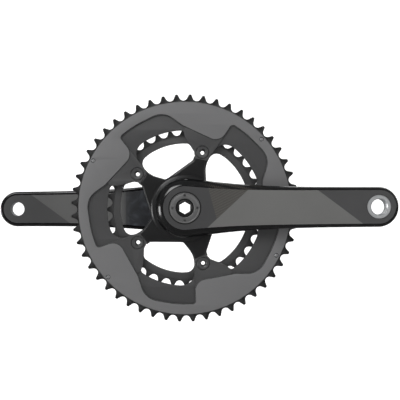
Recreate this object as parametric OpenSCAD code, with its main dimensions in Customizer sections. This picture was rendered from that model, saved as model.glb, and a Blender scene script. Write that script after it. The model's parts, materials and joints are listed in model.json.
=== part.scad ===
// Road bicycle crankset: hollow arms, five-arm spider, two chainrings, 30 mm
// spindle and the pair of bearings that it turns in.
// Frame: millimetres, origin on the spindle axis in the middle of the bottom
// bracket, spindle along Y with the drive side at -Y, right arm along +X, +Z up.
// Every piece is drawn with the spindle along local z, drive side up, and
// stand() turns that into the frame above.

/* [Crank arms] */
// Spindle axis to pedal axis
arm_length = 177.5; // [148:0.5:213]
// Distance between the outer faces of the two pedal ends
pedal_stance = 145; // [135:1:174]
// Thickness of an arm at the pedal
pedal_end_t = 13; // [10.8:0.1:15.6]
// Outline radius of an arm round the spindle
hub_r = 27.8; // [25:0.1:30]
// Outline radius of an arm round the pedal
tip_r = 18.3; // [15.3:0.1:22]
// Width of the sloping shoulder round the hub's outer face
hub_bevel = 7.4; // [6.2:0.1:8.8]
// Width of the chamfer round the pedal end's outer face
tip_bevel = 2.8; // [2.3:0.1:3.4]
// Wall of the hollow arm
arm_wall = 2.4; // [2:0.1:2.9]
// Spindle axis side to side distance of the arms' inner hub faces
hub_spacing = 101; // [99:0.5:108]
// Thickness of an arm at the hub
hub_t = 12.5; // [10.5:0.1:15]

/* [Pedal threads] */
// Thread diameter of the pedal hole
pedal_thread_d = 14.29; // [11.9:0.01:17.1]
// Outside diameter of the pedal insert's visible flange
pedal_flange_d = 21.6; // [20:0.1:25.9]
// Thickness of that flange
pedal_flange_t = 1.6; // [1.3:0.1:2]
// Arm wall left over the insert's inner end
pedal_skin_t = 1.2; // [1:0.1:1.5]

/* [Chainrings] */
// Teeth on the outer chainring
outer_teeth = 52; // [50:1:62]
// Teeth on the inner chainring
inner_teeth = 36; // [34:1:38]
// Chain pitch
pitch = 12.7; // [12.7:0.1:12.7]
// Seat diameter of a chain roller between two teeth
roller_d = 7.86; // [7.8:0.01:8]
// Tooth tip above the pitch circle
tip_rise = 1.75; // [1.45:0.05:2.1]
// Flat width of a tooth tip
tip_w = 2.3; // [1.9:0.1:2.8]
// Thickness of the teeth
tooth_t = 2; // [1.7:0.1:2.2]
// Bolt circle diameter
bcd = 110; // [108:1:113]
// Distance from the bottom bracket's middle to halfway between the rings
chainline = 43.5; // [43:0.1:44.5]
// Distance between the two rings' tooth planes
ring_spacing = 6.7; // [6:0.1:7]
// Rim of the outer ring between its tooth roots and its pockets
rim_w = 11.2; // [9.4:0.1:13.4]
// Height of the outer ring's raised face above its teeth
face_rise = 1.8; // [1.5:0.1:2]
// Height of the bolt tabs above the teeth
tab_rise = 1; // [0.8:0.1:1.2]
// Width of the inner ring between its tooth roots and its opening
inner_band_w = 7.8; // [6.5:0.1:8.6]

/* [Spider] */
// Radius of the spider's hub between two arms
spider_hub_r = 32.2; // [30:0.1:34]
// Thickness of the tongues held between the rings
tongue_t = 3.4; // [2.9:0.1:3.8]

/* [Chainring bolts] */
// Diameter of a bolt head and of a nut flange
ring_head_d = 11.6; // [9.7:0.1:12]
// Outside diameter of the sleeve nut
ring_sleeve_d = 10; // [9:0.1:10.6]
// Thread diameter of a chainring bolt
ring_thread_d = 8; // [7.4:0.1:8.4]
// Through hole of a sleeve nut
ring_eye_d = 3.7; // [3.1:0.1:4.4]

/* [Spindle and crank bolt] */
// Spindle diameter, the bore of the bearings
spindle_d = 30; // [25:0.1:30]
// Wall of the spindle tube
spindle_wall = 3; // [2.5:0.1:3.6]
// Thread diameter of the crank bolt
crank_thread_d = 18; // [15:0.1:18.4]
// Width across the flats of the crank bolt's socket
hex_af = 10; // [8:0.1:11]
// Outside diameter of the extractor cap
cap_d = 28.6; // [27.4:0.1:30]
// Opening in the extractor cap
cap_eye_d = 17; // [16.6:0.1:18]
// Diameter of the circle of pin holes in the extractor cap
cap_pin_circle_d = 23.2; // [22.4:0.1:23.6]
// Ridges of the spindle's spline
spline_count = 16; // [13:1:19]

/* [Bearings] */
// Outside diameter of a bearing
bearing_d = 42; // [41:0.1:50]
// Width of a bearing
bearing_w = 7; // [6.4:0.1:8.4]
// Width of the frame's bottom bracket shell that the bearings sit in
shell_w = 68; // [66:0.5:69]
// Diameter of a ball
ball_d = 3.2; // [2.8:0.05:3.4]
// Balls in each bearing
ball_count = 20; // [16:1:24]

/* [Preload adjuster] */
// Outside diameter of the adjuster ring
adjuster_d = 47; // [45:0.5:56]
// Diameter of the threaded boss that it turns on
boss_d = 38; // [36.5:0.1:39]
// Grip notches round the ring
notch_count = 12; // [10:1:14]

/* [Hidden] */
$fn = 64;
eps = 0.01;
run_gap = 0.05;   // radial clearance of a part that turns on another
seat_gap = 0.1;   // gap between stacked faces that don't bear on each other

// Colours
carbon = "#1b1b1d";
anodised_grey = "#6d6d6f";
anodised_black = "#2c2c2e";
silver = "#b9babc";
steel = "#8e9093";
plastic = "#1d1d1f";
seal_rubber = "#33251f";

// Arm heights above the middle plane
hub_in = hub_spacing / 2;
hub_out = hub_in + hub_t;
tip_out = pedal_stance / 2;
tip_in = tip_out - pedal_end_t;
waist_l = 0.293 * arm_length;    // length over which the hub narrows to the arm
rise_from = 0.113 * arm_length;  // the outer face leaves the hub's level here
rise_to = 0.9 * arm_length;      // and reaches the pedal end's level here
lift_from = 0.254 * arm_length;  // the inner face leaves the hub's level here
lift_to = 0.845 * arm_length;
hub_slope_h = 8;                 // height of the hub's sloping shoulder
tip_slope_h = 3.2;               // height of the pedal end's chamfer
back_bevel = 2.2;                // chamfer round the inner face

// Chainring radii and heights
function pitch_r(teeth) = pitch / (2 * sin(180 / teeth));
outer_root_r = pitch_r(outer_teeth) - roller_d / 2;
inner_root_r = pitch_r(inner_teeth) - roller_d / 2;
inner_tip_r = pitch_r(inner_teeth) + tip_rise;
bolt_r = bcd / 2;
arm_count = 5;
sector = 360 / arm_count;
outer_z = chainline + ring_spacing / 2;
inner_z = chainline - ring_spacing / 2;
plate_top = outer_z + tooth_t / 2;
plate_bottom = outer_z - tooth_t / 2;
face_top = plate_top + face_rise;
tab_top = plate_top + tab_rise;
ring_back = plate_bottom - 0.6;      // back of the outer ring's rim and tabs
tongue_bottom = ring_back - tongue_t;
face_r = outer_root_r - 1;           // edge of the raised face
web_r = inner_tip_r - 1.4;           // the outer ring's opening overlaps the inner teeth
tab_end_y = bolt_r - 7.8;            // straight inner end of the bolt tabs
inner_open_r = inner_root_r - inner_band_w;
inner_back = inner_z - tooth_t / 2 - 0.5;
outer_phase = 0.42;                  // angle of a tooth gap from the right arm
inner_phase = 5.7;

// Chainring bolt heights
head_t = 1.2;
head_seat = tab_top - head_t - 0.1;
nut_seat = inner_back;
ring_hole_d = ring_sleeve_d + 0.1;
ring_socket_af = 5.4;

// Spindle stack heights, drive side positive
shell_half = shell_w / 2;
spline_z = shell_half + 8;           // the round spindle ends and its spline starts
washer_t = 0.4;
head_top = hub_out - 2.4;
head_z = head_top - 2.7;             // underside of the crank bolt's head
shoulder_z = head_z - 1.9;           // inner face of the hub insert's shoulder
spindle_end = shoulder_z - 0.2;
collar_top = hub_out - 0.7;
cap_bottom = head_top + seat_gap;
cap_top = hub_out - 0.1;
insert_r = 18.5;                     // bonded body of a hub insert
neck_r = cap_d / 2 + 0.9;            // its neck at the outer face
neck_z = hub_out - 4;
insert_foot = spline_z - 0.5;
spindle_r = spindle_d / 2;
bore_r = spindle_r - spindle_wall;
spline_root_r = spindle_r - 1.8;
spline_tip_r = spindle_r - 0.9;
left_spindle_end = 5 - hub_out;
lip_r = 11;                          // see-through hole in the left insert

// Bearing radii
bearing_z = shell_half - bearing_w / 2;
ball_circle_r = (spindle_d + bearing_d) / 4;
race_gap_r = 0.9;                    // half the radial gap between the two races
groove_r = ball_d / 2 + run_gap;
seal_t = 0.5;
cage_t = 0.8;
shield_t = 1.9;

// Adjuster
thrust_t = 1;                        // thrust washer between the left shield and the ring
adjuster_front = -(shell_half + seat_gap + shield_t + thrust_t);
adjuster_flange_t = 2.4;
adjuster_travel = 2;                 // how far the ring backs off along the spindle
boss_front = adjuster_front - adjuster_flange_t - adjuster_travel - 0.4;
adjuster_back = -(hub_in - adjuster_travel - 1.2);
pinch_r = adjuster_d / 2 + 1.6;      // distance of the pinch screw from the axis
pinch_slot = 1;
pinch_z = (adjuster_front - adjuster_flange_t + adjuster_back) / 2;
pinch_d = 2.5;

// Points of one sector of the ring outlines, in a frame with its bolt straight up
function at(radius, clockwise) = [radius * sin(clockwise), radius * cos(clockwise)];
function clockwise_of(p) = atan2(p[0], p[1]);
pocket_r = outer_root_r - rim_w;
pocket_corner = at(pocket_r + 0.3, 11.9);
pocket_shoulder = at(pocket_r + 2.65, 41.7);
pocket_foot = at(bolt_r + 22.4, 52.7);
window_side = at(bolt_r * 0.834, 7.4);
window_heel = at(spider_hub_r, 21.1);
window_toe = at(bolt_r * 0.907, 68.5);
window_waist = at(bolt_r * 1.2145, 54.4);
side_bend_r = 25;
lobe_corner = crossing(window_side, pocket_corner, bolt_r + 14.3);
shoulder_bend_r = 30;

function turned(p, a) = [p[0] * cos(a) + p[1] * sin(a), p[1] * cos(a) - p[0] * sin(a)];
function unit(v) = v / norm(v);
function cross2(a, b) = a[0] * b[1] - a[1] * b[0];

// Share of a side that a corner's rounding may use: all of it next to a sharp corner
function share(neighbour) = neighbour[1] > 0 ? 0.48 : 0.96;

// One corner of a polygon, rounded. Corners are [point, radius].
function round_corner(before, corner, after, steps = 10) =
    corner[1] == 0 ? [corner[0]] :
    let (to_before = before[0] - corner[0], to_after = after[0] - corner[0],
        u = unit(to_before), v = unit(to_after), half = acos(u * v) / 2,
        reach = min(corner[1] / tan(half), share(before) * norm(to_before),
            share(after) * norm(to_after)),
        centre = corner[0] + unit(u + v) * reach / cos(half),
        start = corner[0] + u * reach - centre,
        turn = (180 - 2 * half) * sign(cross2(v, u)))
    [for (i = [0:steps]) let (a = turn * i / steps)
        centre + [start[0] * cos(a) - start[1] * sin(a), start[0] * sin(a) + start[1] * cos(a)]];

// A closed outline with its corners rounded
function rounded(corners) =
    let (n = len(corners))
    [for (i = [0:n - 1])
        each round_corner(corners[(i + n - 1) % n], corners[i], corners[(i + 1) % n])];

// Tooth outline: a round seat for each roller and a flat-topped tooth between
function teeth_outline(teeth, phase) =
    let (pr = pitch_r(teeth), seat = roller_d / 2, reach = 62,
        tip = pr + tip_rise, half_tip = asin(tip_w / 2 / tip))
    [for (i = [0:teeth - 1]) let (a = phase + 360 / teeth * i)
        each concat(
            [for (s = [-reach:reach / 3:reach])
                let (x = pr - seat * cos(s), y = seat * sin(s))
                [x * cos(a) - y * sin(a), x * sin(a) + y * cos(a)]],
            [for (t = [180 / teeth - half_tip, 180 / teeth + half_tip])
                [tip * cos(a + t), tip * sin(a + t)]])];

module stand() rotate([90, 0, 0]) children();

module each_sector(from = 0)
    for (k = [from:arm_count - 1]) rotate(k * sector - 90) children();

module ring_tube(outer_r, inner_r, z0, z1)
    translate([0, 0, z0]) difference() {
        cylinder(r = outer_r, h = z1 - z0);
        translate([0, 0, -1]) cylinder(r = inner_r, h = z1 - z0 + 2);
    }

module drill(r, z0, z1) translate([0, 0, z0]) cylinder(r = r, h = z1 - z0);

// ---- outlines of one sector ----

// Corners along a circle round the axis, from one angle to another
function arc_corners(r, from, to, steps = 8) =
    [for (i = [0:steps]) [at(r, from + (to - from) * i / steps), 0]];

// The pocket's outer edge, from the tab clockwise round to its foot
pocket_edge = concat([[pocket_corner, 3]], arc_corners(pocket_r, 15.5, 28),
    [[pocket_shoulder, shoulder_bend_r]]);
// The spider's side of a window, from its waist clockwise round to the next tab
spider_edge = [[window_toe, 8], [window_heel, 3], [window_side, side_bend_r]];

// Through window beside a spider arm, with the pocket above it
module window_2d()
    polygon(rounded(concat(pocket_edge, [[pocket_foot, 4], [window_waist, 5]], spider_edge)));

// Where the line from one point to another crosses a circle round the axis
function crossing(from, to, r) =
    let (d = unit(to - from), b = from * d) from + d * (sqrt(b * b + r * r - from * from) - b);

// The same window closed off at a radius by a ring's own opening
module open_window_2d(r, far_edge, from_r, to_r) {
    near = crossing(window_side, pocket_corner, r);
    far = crossing(far_edge[0], far_edge[1], r);
    polygon(rounded(concat([[near, from_r]],
        arc_corners(r, clockwise_of(near) + 11, clockwise_of(far) - 5), [[far, to_r]],
        r > norm(window_waist) ? [[window_waist, 5]] : [], spider_edge)));
}
module outer_window_2d() open_window_2d(web_r, [window_waist, pocket_foot], 12, 4.5);
module inner_window_2d() open_window_2d(inner_open_r, [window_toe, window_waist], 9, 4.5);

module raised_face_2d() difference() {
    circle(r = face_r, $fn = 180);
    polygon(rounded([for (k = [0:arm_count - 1]) let (a = k * sector)
        each concat([[turned(lobe_corner, a), 11]],
            [for (c = pocket_edge) [turned(c[0], a), c[1]]],
            [[turned(pocket_foot, a), 2]])]));
}

// ---- chainrings ----

// The middle of a ring, inside its tabs' straight ends
module tab_ends_2d(back_off = 0) {
    circle(r = tab_end_y * 0.985 - back_off, $fn = 120);
    each_sector() translate([-spider_hub_r / 2, 0]) square([spider_hub_r, tab_end_y - back_off]);
}

module ring_holes(angles, r, bottom, top)
    for (a = angles) rotate(a) translate([bolt_r, 0, 0]) drill(r, bottom, top);

module outer_chainring() color(anodised_grey) stand() {
    all_bolts = [for (k = [0:arm_count - 1]) k * sector];
    difference() {
        union() {
            translate([0, 0, plate_bottom]) linear_extrude(tooth_t) difference() {
                polygon(teeth_outline(outer_teeth, outer_phase));
                each_sector() outer_window_2d();
                tab_ends_2d();
            }
            translate([0, 0, ring_back]) linear_extrude(face_top - ring_back) raised_face_2d();
            translate([0, 0, ring_back]) linear_extrude(tab_top - ring_back) outer_tabs_2d();
        }
        ring_holes(all_bolts, ring_hole_d / 2, ring_back - 1, face_top + 1);
        ring_holes(all_bolts, ring_head_d / 2 + 0.2, head_seat, face_top + 1);
        for (a = shift_pin_angles) rotate(a) translate([shift_pin_r, 0, 0])
            drill(shift_pin_d / 2, ring_back - 1, face_top + 1);
        translate([drop_pin_x, 0, 0]) drill(drop_pin_d / 2, ring_back - 1, face_top + 1);
    }
}

// The five bolt tabs: what the windows leave between the spider and the raised face
module outer_tabs_2d() difference() {
    circle(r = bolt_r + 26, $fn = 120);
    each_sector() window_2d();
    tab_ends_2d();
}

module inner_band_2d(r) difference() {
    circle(r = r, $fn = 120);
    each_sector() inner_window_2d();
    tab_ends_2d();
}

module inner_chainring() color(anodised_black) stand() difference() {
    union() {
        translate([0, 0, inner_z - tooth_t / 2]) linear_extrude(tooth_t) difference() {
            polygon(teeth_outline(inner_teeth, inner_phase));
            each_sector() inner_window_2d();
            tab_ends_2d();
        }
        translate([0, 0, inner_back]) linear_extrude(tongue_bottom - inner_back)
            inner_band_2d(inner_open_r + 1);
        translate([0, 0, inner_back]) linear_extrude(tongue_bottom - inner_back - 0.3)
            inner_band_2d(inner_root_r - 1.6);
    }
    ring_holes([for (k = [0:arm_count - 1]) k * sector], ring_hole_d / 2, inner_back - 1, tongue_bottom + 1);
}

shift_pin_angles = [41.5, 152.3, 221.7, 332.3];
shift_pin_r = outer_root_r - 4.4;
shift_pin_d = 2.8;
shift_head_d = 4.4;
drop_pin_x = outer_root_r - 8.3;
drop_pin_d = 4;
drop_pin_top = face_top + 3;

module shift_pins() color(steel) stand()
    for (a = shift_pin_angles) rotate(a) translate([shift_pin_r, 0, 0]) {
        drill(shift_pin_d / 2, ring_back - eps, face_top - 0.05);
        drill(shift_head_d / 2, ring_back - 0.8, ring_back);
    }

module chain_drop_pin() color(steel) stand()
    translate([drop_pin_x, 0, 0]) drill(drop_pin_d / 2, ring_back, drop_pin_top);

// ---- spider ----

module spider() color(anodised_black) stand() difference() {
    union() {
        translate([0, 0, tongue_bottom]) linear_extrude(tongue_t) difference() {
            circle(r = bolt_r + 7, $fn = 120);
            each_sector() window_2d();
        }
        translate([0, 0, tongue_bottom]) linear_extrude(tab_top - tongue_bottom) difference() {
            intersection() {
                circle(r = tab_end_y + 2, $fn = 120);
                tab_ends_2d(seat_gap);
            }
            each_sector() window_2d();
        }
        drill(spider_hub_r + 0.6, tongue_bottom, hub_in);
    }
    drill(insert_r, tongue_bottom - 1, hub_in + 1);
    ring_holes([for (k = [0:arm_count - 1]) k * sector], ring_hole_d / 2, tongue_bottom - 1, tab_top + 1);
}

// ---- chainring bolts ----

module ring_bolt(z_head, z_tip) difference() {
    union() {
        drill(ring_head_d / 2, z_head, z_head + head_t);
        drill(ring_thread_d / 2, z_tip, z_head + eps);
    }
    translate([0, 0, z_tip - 1]) cylinder(d = ring_socket_af / cos(30), h = z_head + 3 - z_tip, $fn = 6);
}

module ring_nut(z_flange, z_mouth) {
    difference() {
        union() {
            drill(ring_head_d / 2, z_flange - head_t, z_flange);
            drill(ring_sleeve_d / 2, z_flange - eps, z_mouth);
        }
        drill(ring_eye_d / 2, z_flange - head_t - 1, z_mouth + 1);
        drill(ring_thread_d / 2, z_flange + 0.4, z_mouth + 1);
    }
}

bolt_tip_z = nut_seat + 2.4;
nut_mouth_z = head_seat - 0.3;

module chainring_bolts() color(anodised_black) stand()
    for (k = [1:arm_count - 1]) rotate(k * sector) translate([bolt_r, 0, 0])
        ring_bolt(head_seat, bolt_tip_z);

module chainring_nuts() color(anodised_black) stand()
    for (k = [1:arm_count - 1]) rotate(k * sector) translate([bolt_r, 0, 0])
        ring_nut(nut_seat, nut_mouth_z);

// The fifth pair, behind the right arm, is fitted the other way round
module hidden_ring_bolt() color(anodised_black) stand()
    translate([bolt_r, 0, nut_seat + head_seat]) mirror([0, 0, 1]) ring_bolt(head_seat, bolt_tip_z);

module hidden_ring_nut() color(anodised_black) stand()
    translate([bolt_r, 0, nut_seat + head_seat]) mirror([0, 0, 1]) ring_nut(nut_seat, nut_mouth_z);

// ---- crank arms ----

function ease(t) = let (u = min(max(t, 0), 1)) u * u * (3 - 2 * u);
function fall(x, reach, power) = exp(-pow(max(x, 0) / reach, power));
function half_w(x) = tip_r + (hub_r - tip_r) * fall(x, waist_l, 1.25);
function bevel_w(x) = tip_bevel + (hub_bevel - tip_bevel) * fall(x, 0.34 * arm_length, 1.5);
function slope_h(x) = tip_slope_h + (hub_slope_h - tip_slope_h) * fall(x, 0.34 * arm_length, 1.5);
function face_z(x) = hub_out + (tip_out - hub_out) * ease((x - rise_from) / (rise_to - rise_from));
function back_z(x) = hub_in + (tip_in - hub_in) * ease((x - lift_from) / (lift_to - lift_from));

hub_steps = 10;
arm_steps = 26;
tip_steps = 9;

// Stations along the upper edge: [centre x, direction angle, station x]
stations = concat(
    [for (i = [0:hub_steps - 1]) [0, 180 - 90 * i / hub_steps, 0]],
    [for (i = [0:arm_steps - 1]) [arm_length * i / arm_steps, 90, arm_length * i / arm_steps]],
    [for (i = [0:tip_steps]) [arm_length, 90 - 90 * i / tip_steps, arm_length]]);

// One edge point, inset from the outline, and its mirror image below the middle
function edge_point(s, inset, z) =
    let (reach = half_w(s[2]) - inset) [s[0] + reach * cos(s[1]), reach * sin(s[1]), z];

// Levels of the arm's skin from its inner face to its outer face: [inset, height]
function skin(s) = let (x = s[2], b = bevel_w(x), h = slope_h(x), top = face_z(x)) [
    [back_bevel, back_z(x)],
    [0, back_z(x) + back_bevel],
    [0, top - h],
    [0.14 * b, top - 0.62 * h],
    [0.62 * b, top - 0.16 * h],
    [b, top]];
level_count = 6;

module loft(rings, levels) {
    n = len(rings);
    // points: for each level the upper edge, then the lower edge
    points = [for (l = [0:levels - 1]) each concat(
        [for (r = rings) r[l]],
        [for (r = rings) [r[l][0], -r[l][1], r[l][2]]])];
    function up(l, i) = l * 2 * n + i;
    function low(l, i) = l * 2 * n + n + i;
    sides = [for (l = [0:levels - 2]) for (i = [0:n - 2]) each [
        [up(l, i), up(l + 1, i), up(l + 1, i + 1)], [up(l, i), up(l + 1, i + 1), up(l, i + 1)],
        [low(l, i), low(l + 1, i + 1), low(l + 1, i)], [low(l, i), low(l, i + 1), low(l + 1, i + 1)]]];
    ends = [for (l = [0:levels - 2]) each [
        [up(l, 0), low(l, 0), low(l + 1, 0)], [up(l, 0), low(l + 1, 0), up(l + 1, 0)],
        [up(l, n - 1), up(l + 1, n - 1), low(l + 1, n - 1)],
        [up(l, n - 1), low(l + 1, n - 1), low(l, n - 1)]]];
    caps = [for (i = [0:n - 2]) each [
        [up(0, i), up(0, i + 1), low(0, i + 1)], [up(0, i), low(0, i + 1), low(0, i)],
        [up(levels - 1, i), low(levels - 1, i + 1), up(levels - 1, i + 1)],
        [up(levels - 1, i), low(levels - 1, i), low(levels - 1, i + 1)]]];
    polyhedron(points, [for (f = concat(sides, ends, caps)) [f[0], f[2], f[1]]]);
}

end_flat = 2; // the first and last stations stop this far from the middle line

function arm_ring(s) =
    [for (k = skin(s)) let (p = edge_point(s, k[0], k[1])) [p[0], max(p[1], end_flat / 2), p[2]]];

module arm_body() loft([for (s = stations) arm_ring(s)], level_count);

// The hollow inside, between the hub insert and the pedal insert
cavity_from = hub_r + 6;
cavity_to = arm_length - pedal_flange_d / 2 - 7;
cavity_steps = 8;
module arm_cavity() loft([for (i = [0:cavity_steps])
    let (x = cavity_from + (cavity_to - cavity_from) * i / cavity_steps,
        w = half_w(x) - bevel_w(x) - arm_wall)
    [[x, w, back_z(x) + arm_wall], [x, w, face_z(x) - arm_wall]]], 2);

module hollow_arm() difference() {
    arm_body();
    arm_cavity();
    drill(insert_r, hub_in - 1, neck_z);
    drill(neck_r, neck_z - 1, hub_out + 1);
    translate([arm_length, 0, 0]) {
        drill(pedal_thread_d / 2 + 0.2, tip_in - 1, tip_out + 1);
        drill(pedal_body_r, tip_in + pedal_skin_t, tip_out + 1);
        drill(pedal_flange_d / 2, tip_out - pedal_flange_t, tip_out + 1);
    }
}

pedal_body_r = pedal_thread_d / 2 + 2.2;
module pedal_insert() translate([arm_length, 0, 0]) difference() {
    union() {
        drill(pedal_body_r, tip_in + pedal_skin_t, tip_out - pedal_flange_t + eps);
        drill(pedal_flange_d / 2, tip_out - pedal_flange_t, tip_out);
    }
    drill(pedal_thread_d / 2, tip_in, tip_out + 1);
}

module right_arm() color(carbon) stand() hollow_arm();
module right_pedal_insert() color(silver) stand() pedal_insert();
module left_arm() color(carbon) stand() rotate([0, 180, 0]) hollow_arm();
module left_pedal_insert() color(silver) stand() rotate([0, 180, 0]) pedal_insert();

// ---- hub inserts, spindle and crank bolt ----

module spline_2d(grow) {
    circle(r = spline_root_r + grow);
    ridge = PI * spline_root_r / spline_count;
    for (i = [0:spline_count - 1]) rotate(360 / spline_count * i)
        translate([0, -ridge / 2 - grow]) square([spline_tip_r + grow, ridge + 2 * grow]);
}

module right_hub_insert() color(steel) stand() difference() {
    union() {
        drill(insert_r, insert_foot, neck_z);
        drill(neck_r, neck_z - eps, cap_top);
    }
    translate([0, 0, insert_foot - 1]) linear_extrude(shoulder_z - insert_foot + 1) spline_2d(run_gap);
    drill(spindle_r + run_gap, insert_foot - 1, spline_z + seat_gap);
    drill(crank_thread_d / 2 + 0.4, shoulder_z - 1, head_z);
    drill(cap_d / 2, head_z - washer_t, cap_top + 1);
}

module spindle() color(anodised_black) stand() difference() {
    union() {
        drill(spindle_r, left_spindle_end, spline_z);
        translate([0, 0, spline_z - eps]) linear_extrude(spindle_end - spline_z + eps) spline_2d(0);
    }
    drill(crank_thread_d / 2, spline_z - 2, spindle_end + 1);
    drill(bore_r, left_spindle_end - 1, spline_z - 2);
}

module crank_bolt() color(anodised_black) stand() difference() {
    union() {
        drill(crank_thread_d / 2, spline_z + 2, head_z + eps);
        drill(cap_d / 2 - 2.5, head_z, head_top);
        drill(cap_eye_d / 2 - 0.2, head_top - eps, collar_top);
    }
    translate([0, 0, spline_z + 1]) cylinder(r = hex_af / 2 + 0.9, h = 6);
    translate([0, 0, spline_z + 1]) rotate(30) cylinder(d = hex_af / cos(30), h = 30, $fn = 6);
}

module crank_bolt_washer() color(steel) stand()
    ring_tube(cap_d / 2 - 2.5, crank_thread_d / 2 + 0.2, head_z - washer_t, head_z);

module extractor_cap() color(silver) stand() difference() {
    ring_tube(cap_d / 2, cap_eye_d / 2, cap_bottom, cap_top);
    for (a = [0:90:270]) rotate(a) translate([cap_pin_circle_d / 2, 0, 0])
        drill(1.15, cap_top - 1.5, cap_top + 1);
}

module left_hub_insert() color(steel) stand() difference() {
    union() {
        drill(boss_d / 2, -hub_in, boss_front);
        drill(insert_r, -neck_z, -hub_in + eps);
        drill(neck_r, -cap_top, -neck_z + eps);
    }
    drill(spindle_r, left_spindle_end, 0);
    drill(lip_r, -hub_out - 1, left_spindle_end + 1);
}

// ---- bearings ----

module race_groove() rotate_extrude() translate([ball_circle_r, 0]) circle(r = groove_r);

module outer_race(z) translate([0, 0, z]) difference() {
    ring_tube(bearing_d / 2, ball_circle_r + race_gap_r, -bearing_w / 2, bearing_w / 2);
    race_groove();
}

module inner_race(z) translate([0, 0, z]) difference() {
    ring_tube(ball_circle_r - race_gap_r, spindle_r, -bearing_w / 2, bearing_w / 2);
    race_groove();
}

module balls(z) translate([0, 0, z]) for (i = [0:ball_count - 1])
    rotate(360 / ball_count * i) translate([ball_circle_r, 0, 0]) sphere(d = ball_d, $fn = 32);

module cage(z) translate([0, 0, z]) difference() {
    ring_tube(ball_circle_r + cage_t / 2, ball_circle_r - cage_t / 2, -ball_d * 0.75, ball_d * 0.75);
    for (i = [0:ball_count - 1]) rotate(360 / ball_count * i)
        translate([ball_circle_r - 1.5 * cage_t, 0, 0]) rotate([0, 90, 0])
            cylinder(d = ball_d + 0.12, h = 3 * cage_t);
}

module seals(z) translate([0, 0, z]) for (side = [-1, 1])
    ring_tube(ball_circle_r + race_gap_r, ball_circle_r - race_gap_r + run_gap,
        side * (bearing_w / 2 - 0.5) - seal_t / 2, side * (bearing_w / 2 - 0.5) + seal_t / 2);

module drive_bearing_outer_race() color(steel) stand() outer_race(bearing_z);
module drive_bearing_inner_race() color(steel) stand() inner_race(bearing_z);
module drive_bearing_balls() color(silver) stand() balls(bearing_z);
module drive_bearing_cage() color(plastic) stand() cage(bearing_z);
module drive_bearing_seals() color(seal_rubber) stand() seals(bearing_z);
module left_bearing_outer_race() color(steel) stand() outer_race(-bearing_z);
module left_bearing_inner_race() color(steel) stand() inner_race(-bearing_z);
module left_bearing_balls() color(silver) stand() balls(-bearing_z);
module left_bearing_cage() color(plastic) stand() cage(-bearing_z);
module left_bearing_seals() color(seal_rubber) stand() seals(-bearing_z);

// A shield turns with the spindle: its lip bears on the inner race only
module shield() {
    ring_tube(bearing_d / 2 - 0.4, spindle_r + run_gap, shell_half + 0.6, shell_half + seat_gap + shield_t);
    ring_tube(ball_circle_r - race_gap_r, spindle_r + run_gap, shell_half, shell_half + 0.6 + eps);
}

module drive_bearing_shield() color(plastic) stand() shield();
module left_bearing_shield() color(plastic) stand() mirror([0, 0, 1]) shield();

module drive_spacer() color(anodised_black) stand()
    ring_tube(spindle_r + 3, spindle_r + run_gap, shell_half + seat_gap + shield_t, insert_foot);

// ---- preload adjuster ----

module thrust_washer() color(silver) stand()
    ring_tube(spindle_r + 4.4, spindle_r + run_gap, adjuster_front, adjuster_front + thrust_t);

module preload_adjuster() color(plastic) stand() difference() {
    union() {
        drill(adjuster_d / 2, adjuster_back, adjuster_front);
        translate([-4, 0, adjuster_back + 0.5])
            cube([8, pinch_r + 2, adjuster_front - adjuster_flange_t - adjuster_back - 0.5]);
    }
    drill(boss_d / 2 + run_gap, adjuster_back - 1, adjuster_front - adjuster_flange_t);
    drill(spindle_r + 0.4, adjuster_back, adjuster_front + 1);
    for (i = [1:notch_count - 1]) rotate(90 + 360 / notch_count * i)
        translate([adjuster_d / 2 + 1, 0, 0]) drill(2.2, adjuster_back - 1, adjuster_front - adjuster_flange_t);
    translate([-pinch_slot / 2, boss_d / 2 - 1, adjuster_back - 1])
        cube([pinch_slot, pinch_r, adjuster_front - adjuster_flange_t - adjuster_back + 1]);
    translate([-5, pinch_r, pinch_z]) rotate([0, 90, 0]) cylinder(d = pinch_d, h = 10);
    translate([2.2, pinch_r, pinch_z]) rotate([0, 90, 0]) cylinder(d = pinch_d + 2, h = 10);
}

module preload_pinch_screw() color(steel) stand() translate([0, pinch_r, pinch_z]) rotate([0, 90, 0])
    difference() {
        union() {
            drill(pinch_d / 2, -3.8, 2.3);
            drill(pinch_d / 2 + 0.9, 2.2, 3.9);
        }
        translate([0, 0, 2.8]) cylinder(d = 2 / cos(30), h = 2, $fn = 6);
    }

right_arm();
right_hub_insert();
right_pedal_insert();
spider();
outer_chainring();
inner_chainring();
chainring_bolts();
chainring_nuts();
hidden_ring_bolt();
hidden_ring_nut();
chain_drop_pin();
shift_pins();
crank_bolt();
crank_bolt_washer();
extractor_cap();
spindle();
drive_spacer();
drive_bearing_shield();
drive_bearing_outer_race();
drive_bearing_inner_race();
drive_bearing_balls();
drive_bearing_cage();
drive_bearing_seals();
left_bearing_outer_race();
left_bearing_inner_race();
left_bearing_balls();
left_bearing_cage();
left_bearing_seals();
left_bearing_shield();
thrust_washer();
preload_adjuster();
preload_pinch_screw();
left_arm();
left_hub_insert();
left_pedal_insert();
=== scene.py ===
"""Looks of a road bicycle crankset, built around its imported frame.

Every sub-assembly is drawn in a bench frame, in millimetres, with the spindle along z and the drive
side up, and Bench.place turns that into the model's frame in metres.
"""

import json
import logging
import math
from dataclasses import dataclass, field
from enum import Enum

import bmesh
import bpy
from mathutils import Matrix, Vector
from mathutils.geometry import tessellate_polygon

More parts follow.
